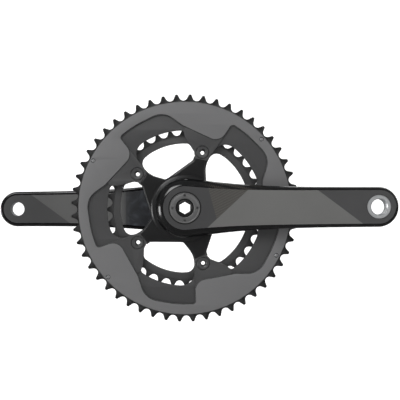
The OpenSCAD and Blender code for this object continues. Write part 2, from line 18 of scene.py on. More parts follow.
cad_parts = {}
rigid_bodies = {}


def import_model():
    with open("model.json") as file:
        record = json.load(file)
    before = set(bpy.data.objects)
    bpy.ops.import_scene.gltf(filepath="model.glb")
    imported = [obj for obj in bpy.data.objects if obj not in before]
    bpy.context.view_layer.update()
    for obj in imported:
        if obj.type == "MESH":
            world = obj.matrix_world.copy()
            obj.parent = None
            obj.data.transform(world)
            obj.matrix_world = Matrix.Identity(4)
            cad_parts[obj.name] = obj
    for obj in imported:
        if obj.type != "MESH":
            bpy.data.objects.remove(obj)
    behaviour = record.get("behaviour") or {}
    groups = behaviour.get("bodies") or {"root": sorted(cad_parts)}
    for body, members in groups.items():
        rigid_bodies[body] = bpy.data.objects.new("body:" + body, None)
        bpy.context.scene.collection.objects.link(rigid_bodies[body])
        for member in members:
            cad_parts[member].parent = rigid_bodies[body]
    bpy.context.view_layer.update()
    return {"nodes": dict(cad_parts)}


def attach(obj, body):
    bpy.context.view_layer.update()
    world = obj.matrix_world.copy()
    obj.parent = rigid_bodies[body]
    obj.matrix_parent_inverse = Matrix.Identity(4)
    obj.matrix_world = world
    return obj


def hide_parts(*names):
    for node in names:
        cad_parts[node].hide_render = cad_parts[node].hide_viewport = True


log = logging.getLogger("crankset")

MM = 0.001
SECTORS = 5
SECTOR = 360 / SECTORS
CHAIN_PITCH = 12.7
ROLLER = 7.86
BOLT_R = 55.0
SMOOTH_ANGLE = 32.0

Point = tuple[float, float]
Corner = tuple[Point, float]


class Axis(Enum):
    """Which side of the crankset a piece belongs to; the value turns a drive side shape into it."""

    DRIVE = 1
    LEFT = -1


class Bench:
    """Turns bench points into model points."""

    @staticmethod
    def place(x: float, y: float, z: float, side: Axis = Axis.DRIVE) -> Vector:
        """Gives the model point of a bench point.

        Args:
            x: Millimetres along the right arm.
            y: Millimetres up.
            z: Millimetres out along the spindle.
            side: The left side is the drive side turned half a turn about the vertical.

        Returns:
            The point in metres in the model's frame.
        """
        return Vector((side.value * x * MM, -side.value * z * MM, y * MM))


# ---------------------------------------------------------------- outlines


def at(radius: float, clockwise: float) -> Point:
    """Gives the point at a radius and a clockwise angle in degrees from straight up."""
    a = math.radians(clockwise)
    return (radius * math.sin(a), radius * math.cos(a))


def turned(p: Point, degrees: float) -> Point:
    """Turns a point clockwise about the axis."""
    a = math.radians(degrees)
    return (p[0] * math.cos(a) + p[1] * math.sin(a), p[1] * math.cos(a) - p[0] * math.sin(a))


def along(radius: float, start: float, end: float, steps: int = 8) -> list[Corner]:
    """Gives sharp corners along a circle about the axis."""
    return [(at(radius, start + (end - start) * i / steps), 0.0) for i in range(steps + 1)]


def crossing(a: Point, b: Point, radius: float) -> Point:
    """Gives the point where the line from a towards b leaves a circle about the axis."""
    length = math.dist(a, b)
    d = ((b[0] - a[0]) / length, (b[1] - a[1]) / length)
    k = a[0] * d[0] + a[1] * d[1]
    reach = math.sqrt(k * k + radius * radius - a[0] ** 2 - a[1] ** 2) - k
    return (a[0] + d[0] * reach, a[1] + d[1] * reach)


def round_corner(before: Corner, corner: Corner, after: Corner, steps: int) -> list[Point]:
    """Rounds one corner of a closed outline.

    Args:
        before: The corner before it, with its own radius.
        corner: The corner and its radius.
        after: The corner after it.
        steps: Segments of the arc.

    Returns:
        The points of the arc, or the corner itself where its radius is 0.
    """
    c = Vector(corner[0])
    if corner[1] == 0:
        return [corner[0]]
    to_before, to_after = Vector(before[0]) - c, Vector(after[0]) - c
    u, v = to_before.normalized(), to_after.normalized()
    half = u.angle(v) / 2
    room = min((0.48 if n[1] else 0.96) * d.length for n, d in ((before, to_before), (after, to_after)))
    reach = min(corner[1] / math.tan(half), room)
    centre = c + (u + v).normalized() * reach / math.cos(half)
    start = c + u * reach - centre
    turn = (math.pi - 2 * half) * math.copysign(1, v.x * u.y - v.y * u.x)
    out = []
    for i in range(steps + 1):
        a = turn * i / steps
        ca, sa = math.cos(a), math.sin(a)
        out.append((centre.x + start.x * ca - start.y * sa, centre.y + start.x * sa + start.y * ca))
    return out


def rounded(corners: list[Corner], steps: int = 10) -> list[Point]:
    """Gives a closed outline with each of its corners rounded."""
    n = len(corners)
    out: list[Point] = []
    for i in range(n):
        out += round_corner(corners[i - 1], corners[i], corners[(i + 1) % n], steps)
    return out


def circle(radius: float, segments: int = 180, centre: Point = (0.0, 0.0)) -> list[Point]:
    """Gives a circle as a closed outline."""
    turns = [2 * math.pi * i / segments for i in range(segments)]
    return [(centre[0] + radius * math.cos(a), centre[1] + radius * math.sin(a)) for a in turns]


def hexagon(across_flats: float) -> list[Point]:
    """Gives a hexagon with a corner at the top, by its width across the flats."""
    r = across_flats / math.sqrt(3)
    return [at(r, 60 * i) for i in range(6)]


def bench_turn(points: list[Point], sector: int) -> list[Point]:
    """Turns a sector's points from its bolt-up frame to its place on the bench."""
    return [turned(p, 90 - SECTOR * sector) for p in points]


# ---------------------------------------------------------------- meshes


@dataclass
class Shell:
    """A mesh in the making, in bench millimetres."""

    name: str
    bm: bmesh.types.BMesh = field(default_factory=bmesh.new)

    def __post_init__(self) -> None:
        """Adds the layer that says how near an edge a point is."""
        self.edge = self.bm.verts.layers.float.new("edge")

    def vert(self, x: float, y: float, z: float, edge: float = 0.0) -> bmesh.types.BMVert:
        """Adds a point with its edge value."""
        v = self.bm.verts.new((x, y, z))
        v[self.edge] = edge
        return v

    def strip(self, a: list, b: list, closed: bool = True, slot: int = 0) -> None:
        """Joins two rows of points with faces.

        Args:
            a: The first row.
            b: The second row, as long as the first.
            closed: Whether the rows are rings.
            slot: The material slot of the faces.
        """
        n = len(a)
        for i in range(n if closed else n - 1):
            j = (i + 1) % n
            ring = [v for k, v in enumerate((a[i], a[j], b[j], b[i])) if v not in (a[i], a[j], b[j], b[i])[:k]]
            if len(ring) > 2 and self.bm.faces.get(ring) is None:
                self.bm.faces.new(ring).material_index = slot

    def cap(self, loops: list[list], slot: int = 0) -> None:
        """Fills a flat face between one outline and its holes."""
        flat = [v for loop in loops for v in loop]
        for tri in tessellate_polygon([[v.co for v in loop] for loop in loops]):
            verts = [flat[i] for i in tri]
            if len(set(verts)) == 3 and self.bm.faces.get(verts) is None:
                self.bm.faces.new(verts).material_index = slot

    def plate(self, loops: list[list[Point]], low: float, high: float, edge_r: float, back_r: float | None = None,
              steps: int = 3) -> None:
        """Adds a flat plate with rounded edges.

        Args:
            loops: Its outline, then its holes.
            low: Height of its back.
            high: Height of its face.
            edge_r: Radius of the edges at its face.
            back_r: Radius of the edges at its back, or the same.
            steps: Segments across a rounded edge.
        """
        back_r = edge_r if back_r is None else back_r
        rows = [(low + back_r * (1 - math.cos(t)), back_r * (1 - math.sin(t)), math.sin(2 * t)) for t in
                [math.pi / 2 * i / steps for i in range(steps + 1)]]
        rows += [(high - edge_r * (1 - math.sin(t)), edge_r * (1 - math.cos(t)), math.sin(2 * t)) for t in
                 [math.pi / 2 * i / steps for i in range(steps + 1)]]
        tops, bottoms = [], []
        for number, loop in enumerate(loops):
            inward = inward_normals(loop, hole=number > 0)
            previous = None
            for z, inset, edge in rows:
                row = [self.vert(p[0] + n[0] * inset, p[1] + n[1] * inset, z, edge) for p, n in zip(loop, inward)]
                if previous is None:
                    bottoms.append(row)
                else:
                    self.strip(previous, row)
                previous = row
            tops.append(previous)
        self.cap(bottoms)
        self.cap(tops)

    def lathe(self, profile: list[tuple[float, float]], segments: int = 96, centre: Point = (0.0, 0.0),
              slot: int = 0) -> None:
        """Adds a closed body of revolution.

        Args:
            profile: Its radii and heights, a closed outline.
            segments: Faces round it.
            centre: Where its own axis is.
            slot: The material slot of its faces.
        """
        rows = []
        for r, z in profile:
            rows.append([self.vert(*p, z) for p in circle(r, segments, centre)])
        for a, b in zip(rows, rows[1:] + rows[:1]):
            self.strip(a, b, slot=slot)

    def build(self, finishes: list[bpy.types.Material], side: Axis = Axis.DRIVE,
              sharp: float = SMOOTH_ANGLE) -> bpy.types.Object:
        """Makes the Blender object, at its place in the model.

        Args:
            finishes: One material for each slot.
            side: The side of the crankset.
            sharp: Edges sharper than this many degrees stay crisp.

        Returns:
            The object, at the origin, with its place in its mesh.
        """
        for v in self.bm.verts:
            v.co = Bench.place(*v.co, side)
        bmesh.ops.remove_doubles(self.bm, verts=self.bm.verts, dist=2e-6)
        bmesh.ops.recalc_face_normals(self.bm, faces=self.bm.faces)
        mesh = bpy.data.meshes.new(self.name)
        for f in self.bm.faces:
            f.smooth = abs(f.normal.y) < 0.99995
        self.bm.to_mesh(mesh)
        self.bm.free()
        mesh.set_sharp_from_angle(angle=math.radians(sharp))
        piece = bpy.data.objects.new(self.name, mesh)
        bpy.context.collection.objects.link(piece)
        for finish in finishes:
            mesh.materials.append(finish)
        return piece


def inward_normals(loop: list[Point], hole: bool) -> list[Point]:
    """Gives, for each point of a closed outline, the way into the plate's own material.

    Args:
        loop: The outline.
        hole: Whether the material lies outside it.

    Returns:
        Mitred normals, so that an inset keeps each side parallel.
    """
    area = sum(a[0] * b[1] - b[0] * a[1] for a, b in zip(loop, loop[1:] + loop[:1]))
    turn = math.copysign(1, area) * (-1 if hole else 1)
    out = []
    for i, p in enumerate(loop):
        before, after = loop[i - 1], loop[(i + 1) % len(loop)]
        e1, e2 = Vector((p[0] - before[0], p[1] - before[1])), Vector((after[0] - p[0], after[1] - p[1]))
        if e1.length < 1e-7 or e2.length < 1e-7:
            e1 = e2 = e1 if e1.length > e2.length else e2
        n1, n2 = Vector((-e1.y, e1.x)).normalized(), Vector((-e2.y, e2.x)).normalized()
        n = (n1 + n2).normalized()
        n *= turn / max(n.dot(n1), 0.5)
        out.append((n.x, n.y))
    return out


def carve(piece: bpy.types.Object, cutters: list[bpy.types.Object]) -> bpy.types.Object:
    """Cuts closed shapes out of a piece and deletes them.

    Args:
        piece: The piece to cut.
        cutters: The shapes.

    Returns:
        The piece, with a plain cut mesh.
    """
    for cutter in cutters:
        cut = piece.modifiers.new("cut", "BOOLEAN")
        cut.operation, cut.object, cut.solver = "DIFFERENCE", cutter, "MANIFOLD"
    flatten(piece)
    for cutter in cutters:
        bpy.data.objects.remove(cutter)
    piece.data.set_sharp_from_angle(angle=math.radians(SMOOTH_ANGLE))
    return piece


def flatten(piece: bpy.types.Object) -> None:
    """Turns a piece's modifiers into a plain mesh."""
    evaluated = piece.evaluated_get(bpy.context.evaluated_depsgraph_get())
    mesh = bpy.data.meshes.new_from_object(evaluated)
    piece.modifiers.clear()
    mesh.name = piece.name
    piece.data = mesh


def join(name: str, parts: list[bpy.types.Object]) -> bpy.types.Object:
    """Joins pieces that share their material slots into one."""
    bm = bmesh.new()
    for part in parts:
        bm.from_mesh(part.data)
    mesh = bpy.data.meshes.new(name)
    bm.to_mesh(mesh)
    bm.free()
    for finish in parts[0].data.materials:
        mesh.materials.append(finish)
    for part in parts:
        bpy.data.objects.remove(part)
    piece = bpy.data.objects.new(name, mesh)
    bpy.context.collection.objects.link(piece)
    return piece


# ---------------------------------------------------------------- repeated pieces


class RingArray:
    """Geometry Nodes tree that repeats a piece round the spindle's axis."""

    def __init__(self) -> None:
        """Builds the tree."""
        tree = bpy.data.node_groups.new("Ring array", "GeometryNodeTree")
        face = tree.interface
        face.new_socket(name="Piece", in_out="INPUT", socket_type="NodeSocketGeometry")
        self.ids = {}
        for label, kind in (("Count", "NodeSocketInt"), ("First angle", "NodeSocketFloat"),
                            ("Step", "NodeSocketFloat"), ("Weld", "NodeSocketFloat"),
                            ("Material", "NodeSocketMaterial")):
            self.ids[label] = face.new_socket(name=label, in_out="INPUT", socket_type=kind).identifier
        face.new_socket(name="Ring", in_out="OUTPUT", socket_type="NodeSocketGeometry")
        new, link = tree.nodes.new, tree.links.new
        given, out = new("NodeGroupInput"), new("NodeGroupOutput")
        line = new("GeometryNodeMeshLine")
        line.inputs["Offset"].default_value = (0, 0, 0)
        link(given.outputs["Count"], line.inputs["Count"])
        index, times, plus, turn = (new("GeometryNodeInputIndex"), new("ShaderNodeMath"), new("ShaderNodeMath"),
                                    new("ShaderNodeCombineXYZ"))
        times.operation, plus.operation = "MULTIPLY", "ADD"
        link(index.outputs[0], times.inputs[0])
        link(given.outputs["Step"], times.inputs[1])
        link(times.outputs[0], plus.inputs[0])
        link(given.outputs["First angle"], plus.inputs[1])
        link(plus.outputs[0], turn.inputs["Y"])
        copies, real = new("GeometryNodeInstanceOnPoints"), new("GeometryNodeRealizeInstances")
        weld, dress = new("GeometryNodeMergeByDistance"), new("GeometryNodeSetMaterial")
        link(line.outputs["Mesh"], copies.inputs["Points"])
        link(given.outputs["Piece"], copies.inputs["Instance"])
        link(turn.outputs[0], copies.inputs["Rotation"])
        link(copies.outputs[0], real.inputs[0])
        link(real.outputs[0], weld.inputs[0])
        link(given.outputs["Weld"], weld.inputs["Distance"])
        link(weld.outputs[0], dress.inputs[0])
        link(given.outputs["Material"], dress.inputs["Material"])
        link(dress.outputs[0], out.inputs[0])
        self.tree = tree

    def repeat(self, piece: bpy.types.Object, count: int, finish: bpy.types.Material, first: float = 0.0,
               step: float | None = None, weld: float = 1e-7) -> bpy.types.Object:
        """Repeats a piece about the spindle and makes the result a plain mesh.

        Args:
            piece: The first of them, at its place.
            count: How many there are.
            finish: Their material.
            first: Angle of the first, in degrees, anticlockwise from the drive side.
            step: Angle from one to the next, or an even share of the turn.
            weld: Points nearer than this, in metres, become one.

        Returns:
            The same object, with all of them in its mesh.
        """
        made = piece.modifiers.new("ring", "NODES")
        made.node_group = self.tree
        made[self.ids["Count"]] = count
        made[self.ids["First angle"]] = -math.radians(first)
        made[self.ids["Step"]] = -math.radians(360 / count if step is None else step)
        made[self.ids["Weld"]] = weld
        made[self.ids["Material"]] = finish
        flatten(piece)
        return piece


# ---------------------------------------------------------------- shared shader effects


class Nodes:
    """Short hand for building one node tree."""

    def __init__(self, tree: bpy.types.NodeTree) -> None:
        """Keeps the tree."""
        self.tree = tree

    def add(self, kind: str, **inputs) -> bpy.types.Node:
        """Adds a node.

        Args:
            kind: Its type.
            inputs: Its input sockets by name, with _ for a space, or by place as i0, i1, i2: a value, or a
                socket to link. A name of another property of the node sets that property.

        Returns:
            The node.
        """
        node = self.tree.nodes.new(kind)
        for key, value in inputs.items():
            if hasattr(node, key) and not key.startswith("i_"):
                setattr(node, key, value)
        for key, value in inputs.items():
            if hasattr(node, key) and not key.startswith("i_"):
                continue
            socket = node.inputs[int(key[1:])] if key[1:].isdigit() else node.inputs[key.replace("_", " ")]
            if isinstance(value, bpy.types.NodeSocket):
                self.tree.links.new(value, socket)
            else:
                socket.default_value = value
        return node

    def math(self, operation: str, a, b=0.0, clamp: bool = False) -> bpy.types.NodeSocket:
        """Adds a Math node and gives its result."""
        return self.add("ShaderNodeMath", operation=operation, use_clamp=clamp, i0=a, i1=b).outputs[0]

    def mix(self, factor, a, b) -> bpy.types.NodeSocket:
        """Mixes two colours and gives the result."""
        node = self.tree.nodes.new("ShaderNodeMix")
        node.data_type = "RGBA"
        for place, value in ((0, factor), (6, a), (7, b)):
            if isinstance(value, bpy.types.NodeSocket):
                self.tree.links.new(value, node.inputs[place])
            else:
                node.inputs[place].default_value = value
        return node.outputs[2]


@dataclass
class Effect:
    """A shader node group with named inputs and outputs."""

    name: str
    inputs: dict[str, float]
    outputs: dict[str, str]

    def start(self) -> tuple[Nodes, bpy.types.Node, bpy.types.Node]:
        """Makes the empty group.

        Returns:
            The group's nodes, its input node and its output node.
        """
        self.group = bpy.data.node_groups.new(self.name, "ShaderNodeTree")
        for label, value in self.inputs.items():
            kind = "NodeSocketVector" if label == "Position" else "NodeSocketFloat"
            socket = self.group.interface.new_socket(name=label, in_out="INPUT", socket_type=kind)
            if label != "Position":
                socket.default_value = value
        for label, kind in self.outputs.items():
            self.group.interface.new_socket(name=label, in_out="OUTPUT", socket_type=kind)
        nodes = Nodes(self.group)
        return nodes, nodes.add("NodeGroupInput"), nodes.add("NodeGroupOutput")

    def use(self, nodes: Nodes, **values) -> bpy.types.Node:
        """Places the group in a material with its own values."""
        node = nodes.tree.nodes.new("ShaderNodeGroup")
        node.node_tree = self.group
        for key, value in values.items():
            socket = node.inputs[key.replace("_", " ")]
            if isinstance(value, bpy.types.NodeSocket):
                nodes.tree.links.new(value, socket)
            else:
                socket.default_value = value
        return node


class Effects:
    """The effects that several finishes share."""

    def __init__(self) -> None:
        """Builds the groups."""
        self.grain = self._grain()
        self.edge_shading = self._edge_shading()
        self.weave = self._weave()
        self.zone = self._zone()
        self.turning = self._turning()

    @staticmethod
    def _grain() -> Effect:
        """Fine blasted or moulded grain, with slow cloudy changes of tone."""
        effect = Effect("Grain", {"Position": 0, "Size": 0.4, "Cloud size": 30.0, "Strength": 0.1},
                        {"Tone": "NodeSocketFloat", "Height": "NodeSocketFloat"})
        n, given, out = effect.start()
        per_metre = n.math("DIVIDE", 1000.0, given.outputs["Size"])
        fine = n.add("ShaderNodeTexNoise", Vector=given.outputs["Position"], Scale=per_metre, Detail=2.0)
        slow = n.add("ShaderNodeTexNoise", Vector=given.outputs["Position"],
                     Scale=n.math("DIVIDE", 1000.0, given.outputs["Cloud size"]), Detail=3.0)
        both = n.math("ADD", n.math("MULTIPLY", fine.outputs["Fac"], 0.4),
                      n.math("MULTIPLY", slow.outputs["Fac"], 0.6))
        swing = n.math("MULTIPLY", n.math("SUBTRACT", both, 0.5), given.outputs["Strength"])
        n.tree.links.new(n.math("ADD", swing, 1.0), out.inputs["Tone"])
        n.tree.links.new(fine.outputs["Fac"], out.inputs["Height"])
        return effect

    @staticmethod
    def _edge_shading() -> Effect:
        """Blotchy mask along the rounded edges that a piece's edge attribute marks, for painted edge shade and painted
        edge highlights.
        """
        effect = Effect("Painted edge shading", {"Position": 0, "Amount": 0.5, "Size": 3.0}, {"Mask": "NodeSocketFloat"})
        n, given, out = effect.start()
        edge = n.add("ShaderNodeAttribute", attribute_name="edge").outputs["Fac"]
        blotch = n.add("ShaderNodeTexNoise", Vector=given.outputs["Position"],
                       Scale=n.math("DIVIDE", 1000.0, given.outputs["Size"]), Detail=4.0)
        edge_shaded = n.math("MULTIPLY", edge, n.math("ADD", blotch.outputs["Fac"], 0.25))
        n.tree.links.new(n.math("MULTIPLY", edge_shaded, given.outputs["Amount"], clamp=True), out.inputs["Mask"])
        return effect

    @staticmethod
    def _weave() -> Effect:
        """Two-by-two twill of carbon tows, across the arm's face."""
        effect = Effect("Twill weave", {"Position": 0, "Tow": 1.6, "Angle": 0.0},
                        {"Over": "NodeSocketFloat", "Height": "NodeSocketFloat"})
        n, given, out = effect.start()
        spin = n.add("ShaderNodeVectorRotate", rotation_type="Y_AXIS", Vector=given.outputs["Position"],
                     Angle=given.outputs["Angle"])
        xyz = n.add("ShaderNodeSeparateXYZ", i0=spin.outputs[0])
        size = n.math("MULTIPLY", given.outputs["Tow"], MM)
        u, v = n.math("DIVIDE", xyz.outputs["X"], size), n.math("DIVIDE", xyz.outputs["Z"], size)
        step = n.math("ADD", n.math("FLOOR", u), n.math("FLOOR", v))
        over = n.math("GREATER_THAN", n.math("FLOORED_MODULO", step, 4.0), 1.5)
        crown_u = n.math("SINE", n.math("MULTIPLY", n.math("FRACT", u), math.pi))
        crown_v = n.math("SINE", n.math("MULTIPLY", n.math("FRACT", v), math.pi))
        height = n.math("ADD", n.math("MULTIPLY", crown_u, over),
                        n.math("MULTIPLY", crown_v, n.math("SUBTRACT", 1.0, over)))
        n.tree.links.new(over, out.inputs["Over"])
        n.tree.links.new(height, out.inputs["Height"])
        return effect

    @staticmethod
    def _zone() -> Effect:
        """Mask of one side of a straight line across the arm's face."""
        effect = Effect("Zone", {"Position": 0, "Along": 1.0, "Up": 0.0, "From": 0.0, "Softness": 0.3},
                        {"Mask": "NodeSocketFloat"})
        n, given, out = effect.start()
        xyz = n.add("ShaderNodeSeparateXYZ", i0=given.outputs["Position"])
        reach = n.math("ADD", n.math("MULTIPLY", xyz.outputs["X"], given.outputs["Along"]),
                       n.math("MULTIPLY", xyz.outputs["Z"], given.outputs["Up"]))
        past = n.math("SUBTRACT", n.math("DIVIDE", reach, MM), given.outputs["From"])
        mask = n.math("ADD", n.math("DIVIDE", past, given.outputs["Softness"]), 0.5, clamp=True)
        n.tree.links.new(mask, out.inputs["Mask"])
        return effect

    @staticmethod
    def _turning() -> Effect:
        """Fine concentric lines that a lathe leaves round the spindle's axis."""
        effect = Effect("Turning lines", {"Position": 0, "Pitch": 0.3}, {"Line": "NodeSocketFloat"})
        n, given, out = effect.start()
        xyz = n.add("ShaderNodeSeparateXYZ", i0=given.outputs["Position"])
        square = n.math("ADD", n.math("MULTIPLY", xyz.outputs["X"], xyz.outputs["X"]),
                        n.math("MULTIPLY", xyz.outputs["Z"], xyz.outputs["Z"]))
        radius = n.math("DIVIDE", n.math("SQRT", square), n.math("MULTIPLY", given.outputs["Pitch"], MM))
        wobble = n.add("ShaderNodeTexNoise", noise_dimensions="1D", W=radius, Scale=1.0, Detail=2.0)
        n.tree.links.new(wobble.outputs["Fac"], out.inputs["Line"])
        return effect


# ---------------------------------------------------------------- finishes

Colour = tuple[float, float, float]


@dataclass(frozen=True)
class Metal:
    """Anodised, plated or bare metal with grain and turning lines, and its edge colour painted along the marked rounded
    edges: painted shade where that colour is darker, a painted highlight where it is lighter.
    """

    name: str
    colour: Colour
    # Colour painted along the marked edges: painted shade when darker than the body colour, a painted highlight when
    # lighter.
    edge_colour: Colour
    metallic: float = 0.6
    roughness: float = 0.45
    grain: float = 0.1
    grain_size: float = 0.35
    # How strongly the painted edge colour shows.
    edge_shading: float = 0.5
    turned: float = 0.0
    bump: float = 0.02

    def make(self, fx: Effects) -> bpy.types.Material:
        """Builds the material."""
        n, shader, position = start_material(self.name)
        grain = fx.grain.use(n, Position=position, Size=self.grain_size, Strength=self.grain)
        # Mask of the painted edge shade or highlight along the marked edges.
        edge_shading = fx.edge_shading.use(n, Position=position, Amount=self.edge_shading)
        lines = fx.turning.use(n, Position=position)
        tone = n.math("ADD", grain.outputs["Tone"],
                      n.math("MULTIPLY", n.math("SUBTRACT", lines.outputs["Line"], 0.5), self.turned))
        colour = n.add("ShaderNodeVectorMath", operation="SCALE", i0=self.colour, Scale=tone).outputs[0]
        edge_shaded = n.mix(edge_shading.outputs["Mask"], colour, (*self.edge_colour, 1))
        n.tree.links.new(edge_shaded, shader.inputs["Base Color"])
        rough = n.math("MULTIPLY", tone, self.roughness)
        n.tree.links.new(rough, shader.inputs["Roughness"])
        shader.inputs["Metallic"].default_value = self.metallic
        bump(n, shader, grain.outputs["Height"], self.bump)
        return n.material


@dataclass(frozen=True)
class Moulded:
    """Moulded plastic or rubber."""

    name: str
    colour: Colour
    roughness: float = 0.55
    coat: float = 0.0
    grain: float = 0.25
    bump: float = 0.05

    def make(self, fx: Effects) -> bpy.types.Material:
        """Builds the material."""
        n, shader, position = start_material(self.name)
        grain = fx.grain.use(n, Position=position, Size=0.5, Strength=self.grain)
        edge_shading = fx.edge_shading.use(n, Position=position, Amount=0.3)
        tinted = n.add("ShaderNodeVectorMath", operation="SCALE", i0=self.colour, Scale=grain.outputs["Tone"])
        # Paler colour mixed in along the edges that the edge attribute marks.
        pale = tuple(min(1.0, c * 1.8 + 0.01) for c in self.colour)
        n.tree.links.new(n.mix(edge_shading.outputs["Mask"], tinted.outputs[0], (*pale, 1)), shader.inputs["Base Color"])
        n.tree.links.new(n.math("MULTIPLY", grain.outputs["Tone"], self.roughness), shader.inputs["Roughness"])
        shader.inputs["Coat Weight"].default_value = self.coat
        bump(n, shader, grain.outputs["Height"], self.bump)
        return n.material


@dataclass(frozen=True)
class GlossCarbon:
    """Clear-coated carbon: the arm's shoulders, with the weave just showing on the upper one."""

    name: str
    colour: Colour = (0.003, 0.003, 0.0033)
    tow_colour: Colour = (0.035, 0.031, 0.026)
    from_x: float = 21.0
    to_x: float = 66.0

    def make(self, fx: Effects) -> bpy.types.Material:
        """Builds the material."""
        n, shader, position = start_material(self.name)
        weave = fx.weave.use(n, Position=position, Tow=1.5, Angle=math.radians(33))
        start = fx.zone.use(n, Position=position, Along=1.0, From=self.from_x, Softness=14.0)
        end = fx.zone.use(n, Position=position, Along=-1.0, From=-self.to_x, Softness=22.0)
        top = fx.zone.use(n, Position=position, Along=0.0, Up=1.0, From=16.0, Softness=3.0)
        shown = n.math("MULTIPLY", n.math("MULTIPLY", start.outputs["Mask"], end.outputs["Mask"]),
                       top.outputs["Mask"])
        tows = n.math("MULTIPLY", weave.outputs["Over"], n.math("MULTIPLY", weave.outputs["Height"], shown))
        n.tree.links.new(n.mix(tows, (*self.colour, 1), (*self.tow_colour, 1)), shader.inputs["Base Color"])
        grain = fx.grain.use(n, Position=position, Size=9.0, Cloud_size=45.0, Strength=0.5)
        n.tree.links.new(n.math("MULTIPLY", grain.outputs["Tone"], 0.16), shader.inputs["Roughness"])
        shader.inputs["Coat Weight"].default_value = 0.25
        shader.inputs["Specular IOR Level"].default_value = 0.3
        shader.inputs["Coat Roughness"].default_value = 0.05
        bump(n, shader, weave.outputs["Height"], 0.01)
        return n.material


@dataclass(frozen=True)
class Band:
    """A straight-edged patch of the arm's face: where it starts and ends, as half planes."""

    starts: tuple[float, float, float]
    ends: tuple[float, float, float]


@dataclass(frozen=True)
class ArmFace:
    """Satin face of an arm, in patches: base, woven patch and pale patch."""

    name: str
    base: Colour
    far: Colour
    pale: Colour
    weave_dark: Colour
    weave_light: Colour
    weave: Band
    patch: Band
    marbled_from: float | None = None

    def _mask(self, n: Nodes, fx: Effects, position, band: Band) -> bpy.types.NodeSocket:
        """Gives the mask of one patch."""
        masks = [fx.zone.use(n, Position=position, Along=p[0], Up=p[1], From=p[2]).outputs["Mask"]
                 for p in (band.starts, band.ends)]
        return n.math("MULTIPLY", *masks)

    def make(self, fx: Effects) -> bpy.types.Material:
        """Builds the material."""
        n, shader, position = start_material(self.name)
        grain = fx.grain.use(n, Position=position, Size=0.6, Cloud_size=60.0, Strength=0.22)
        twill = fx.weave.use(n, Position=position, Tow=0.5, Angle=math.radians(28))
        past = fx.zone.use(n, Position=position, Along=self.patch.starts[0], Up=self.patch.starts[1],
                           From=self.patch.starts[2])
        woven = n.mix(n.math("MULTIPLY", twill.outputs["Over"], twill.outputs["Height"]),
                      (*self.weave_dark, 1), (*self.weave_light, 1))
        colour = n.mix(past.outputs["Mask"], (*self.base, 1), (*self.far, 1))
        weave_mask = self._mask(n, fx, position, self.weave)
        colour = n.mix(weave_mask, colour, woven)
        colour = n.mix(self._mask(n, fx, position, self.patch), colour, (*self.pale, 1))
        if self.marbled_from is not None:
            wisps = n.add("ShaderNodeTexNoise", Vector=position, Scale=55.0, Detail=6.0, Roughness=0.62,
                          Distortion=1.4)
            sharp = n.math("POWER", wisps.outputs["Fac"], 4.0)
            marble = n.mix(sharp, (0.004, 0.0045, 0.006, 1), (0.16, 0.18, 0.22, 1))
            near = fx.zone.use(n, Position=position, Along=1.0, From=self.marbled_from, Softness=10.0)
            colour = n.mix(near.outputs["Mask"], colour, marble)
        toned = n.add("ShaderNodeVectorMath", operation="SCALE", i0=colour, Scale=grain.outputs["Tone"])
        n.tree.links.new(toned.outputs[0], shader.inputs["Base Color"])
        rough = n.math("SUBTRACT", n.math("MULTIPLY", grain.outputs["Tone"], 0.5),
                       n.math("MULTIPLY", weave_mask, 0.12))
        n.tree.links.new(rough, shader.inputs["Roughness"])
        height = n.math("MULTIPLY", twill.outputs["Height"], weave_mask)
        bump(n, shader, n.math("ADD", height, n.math("MULTIPLY", grain.outputs["Height"], 0.2)), 0.04)
        return n.material


def start_material(name: str) -> tuple[Nodes, bpy.types.Node, bpy.types.NodeSocket]:
    """Makes an empty material.

    Args:
        name: Its name.

    Returns:
        Its nodes, its shader and the Object coordinates.
    """
    material = bpy.data.materials.new(name)
    material.use_nodes = True
    n = Nodes(material.node_tree)
    n.material = material
    shader = material.node_tree.nodes["Principled BSDF"]
    return n, shader, n.add("ShaderNodeTexCoord").outputs["Object"]


def bump(n: Nodes, shader: bpy.types.Node, height: bpy.types.NodeSocket, millimetres: float) -> None:
    """Feeds a height to the shader's normal, with a depth in millimetres."""
    node = n.add("ShaderNodeBump", Strength=1.0, Distance=millimetres * MM, Height=height)
    n.tree.links.new(node.outputs[0], shader.inputs["Normal"])


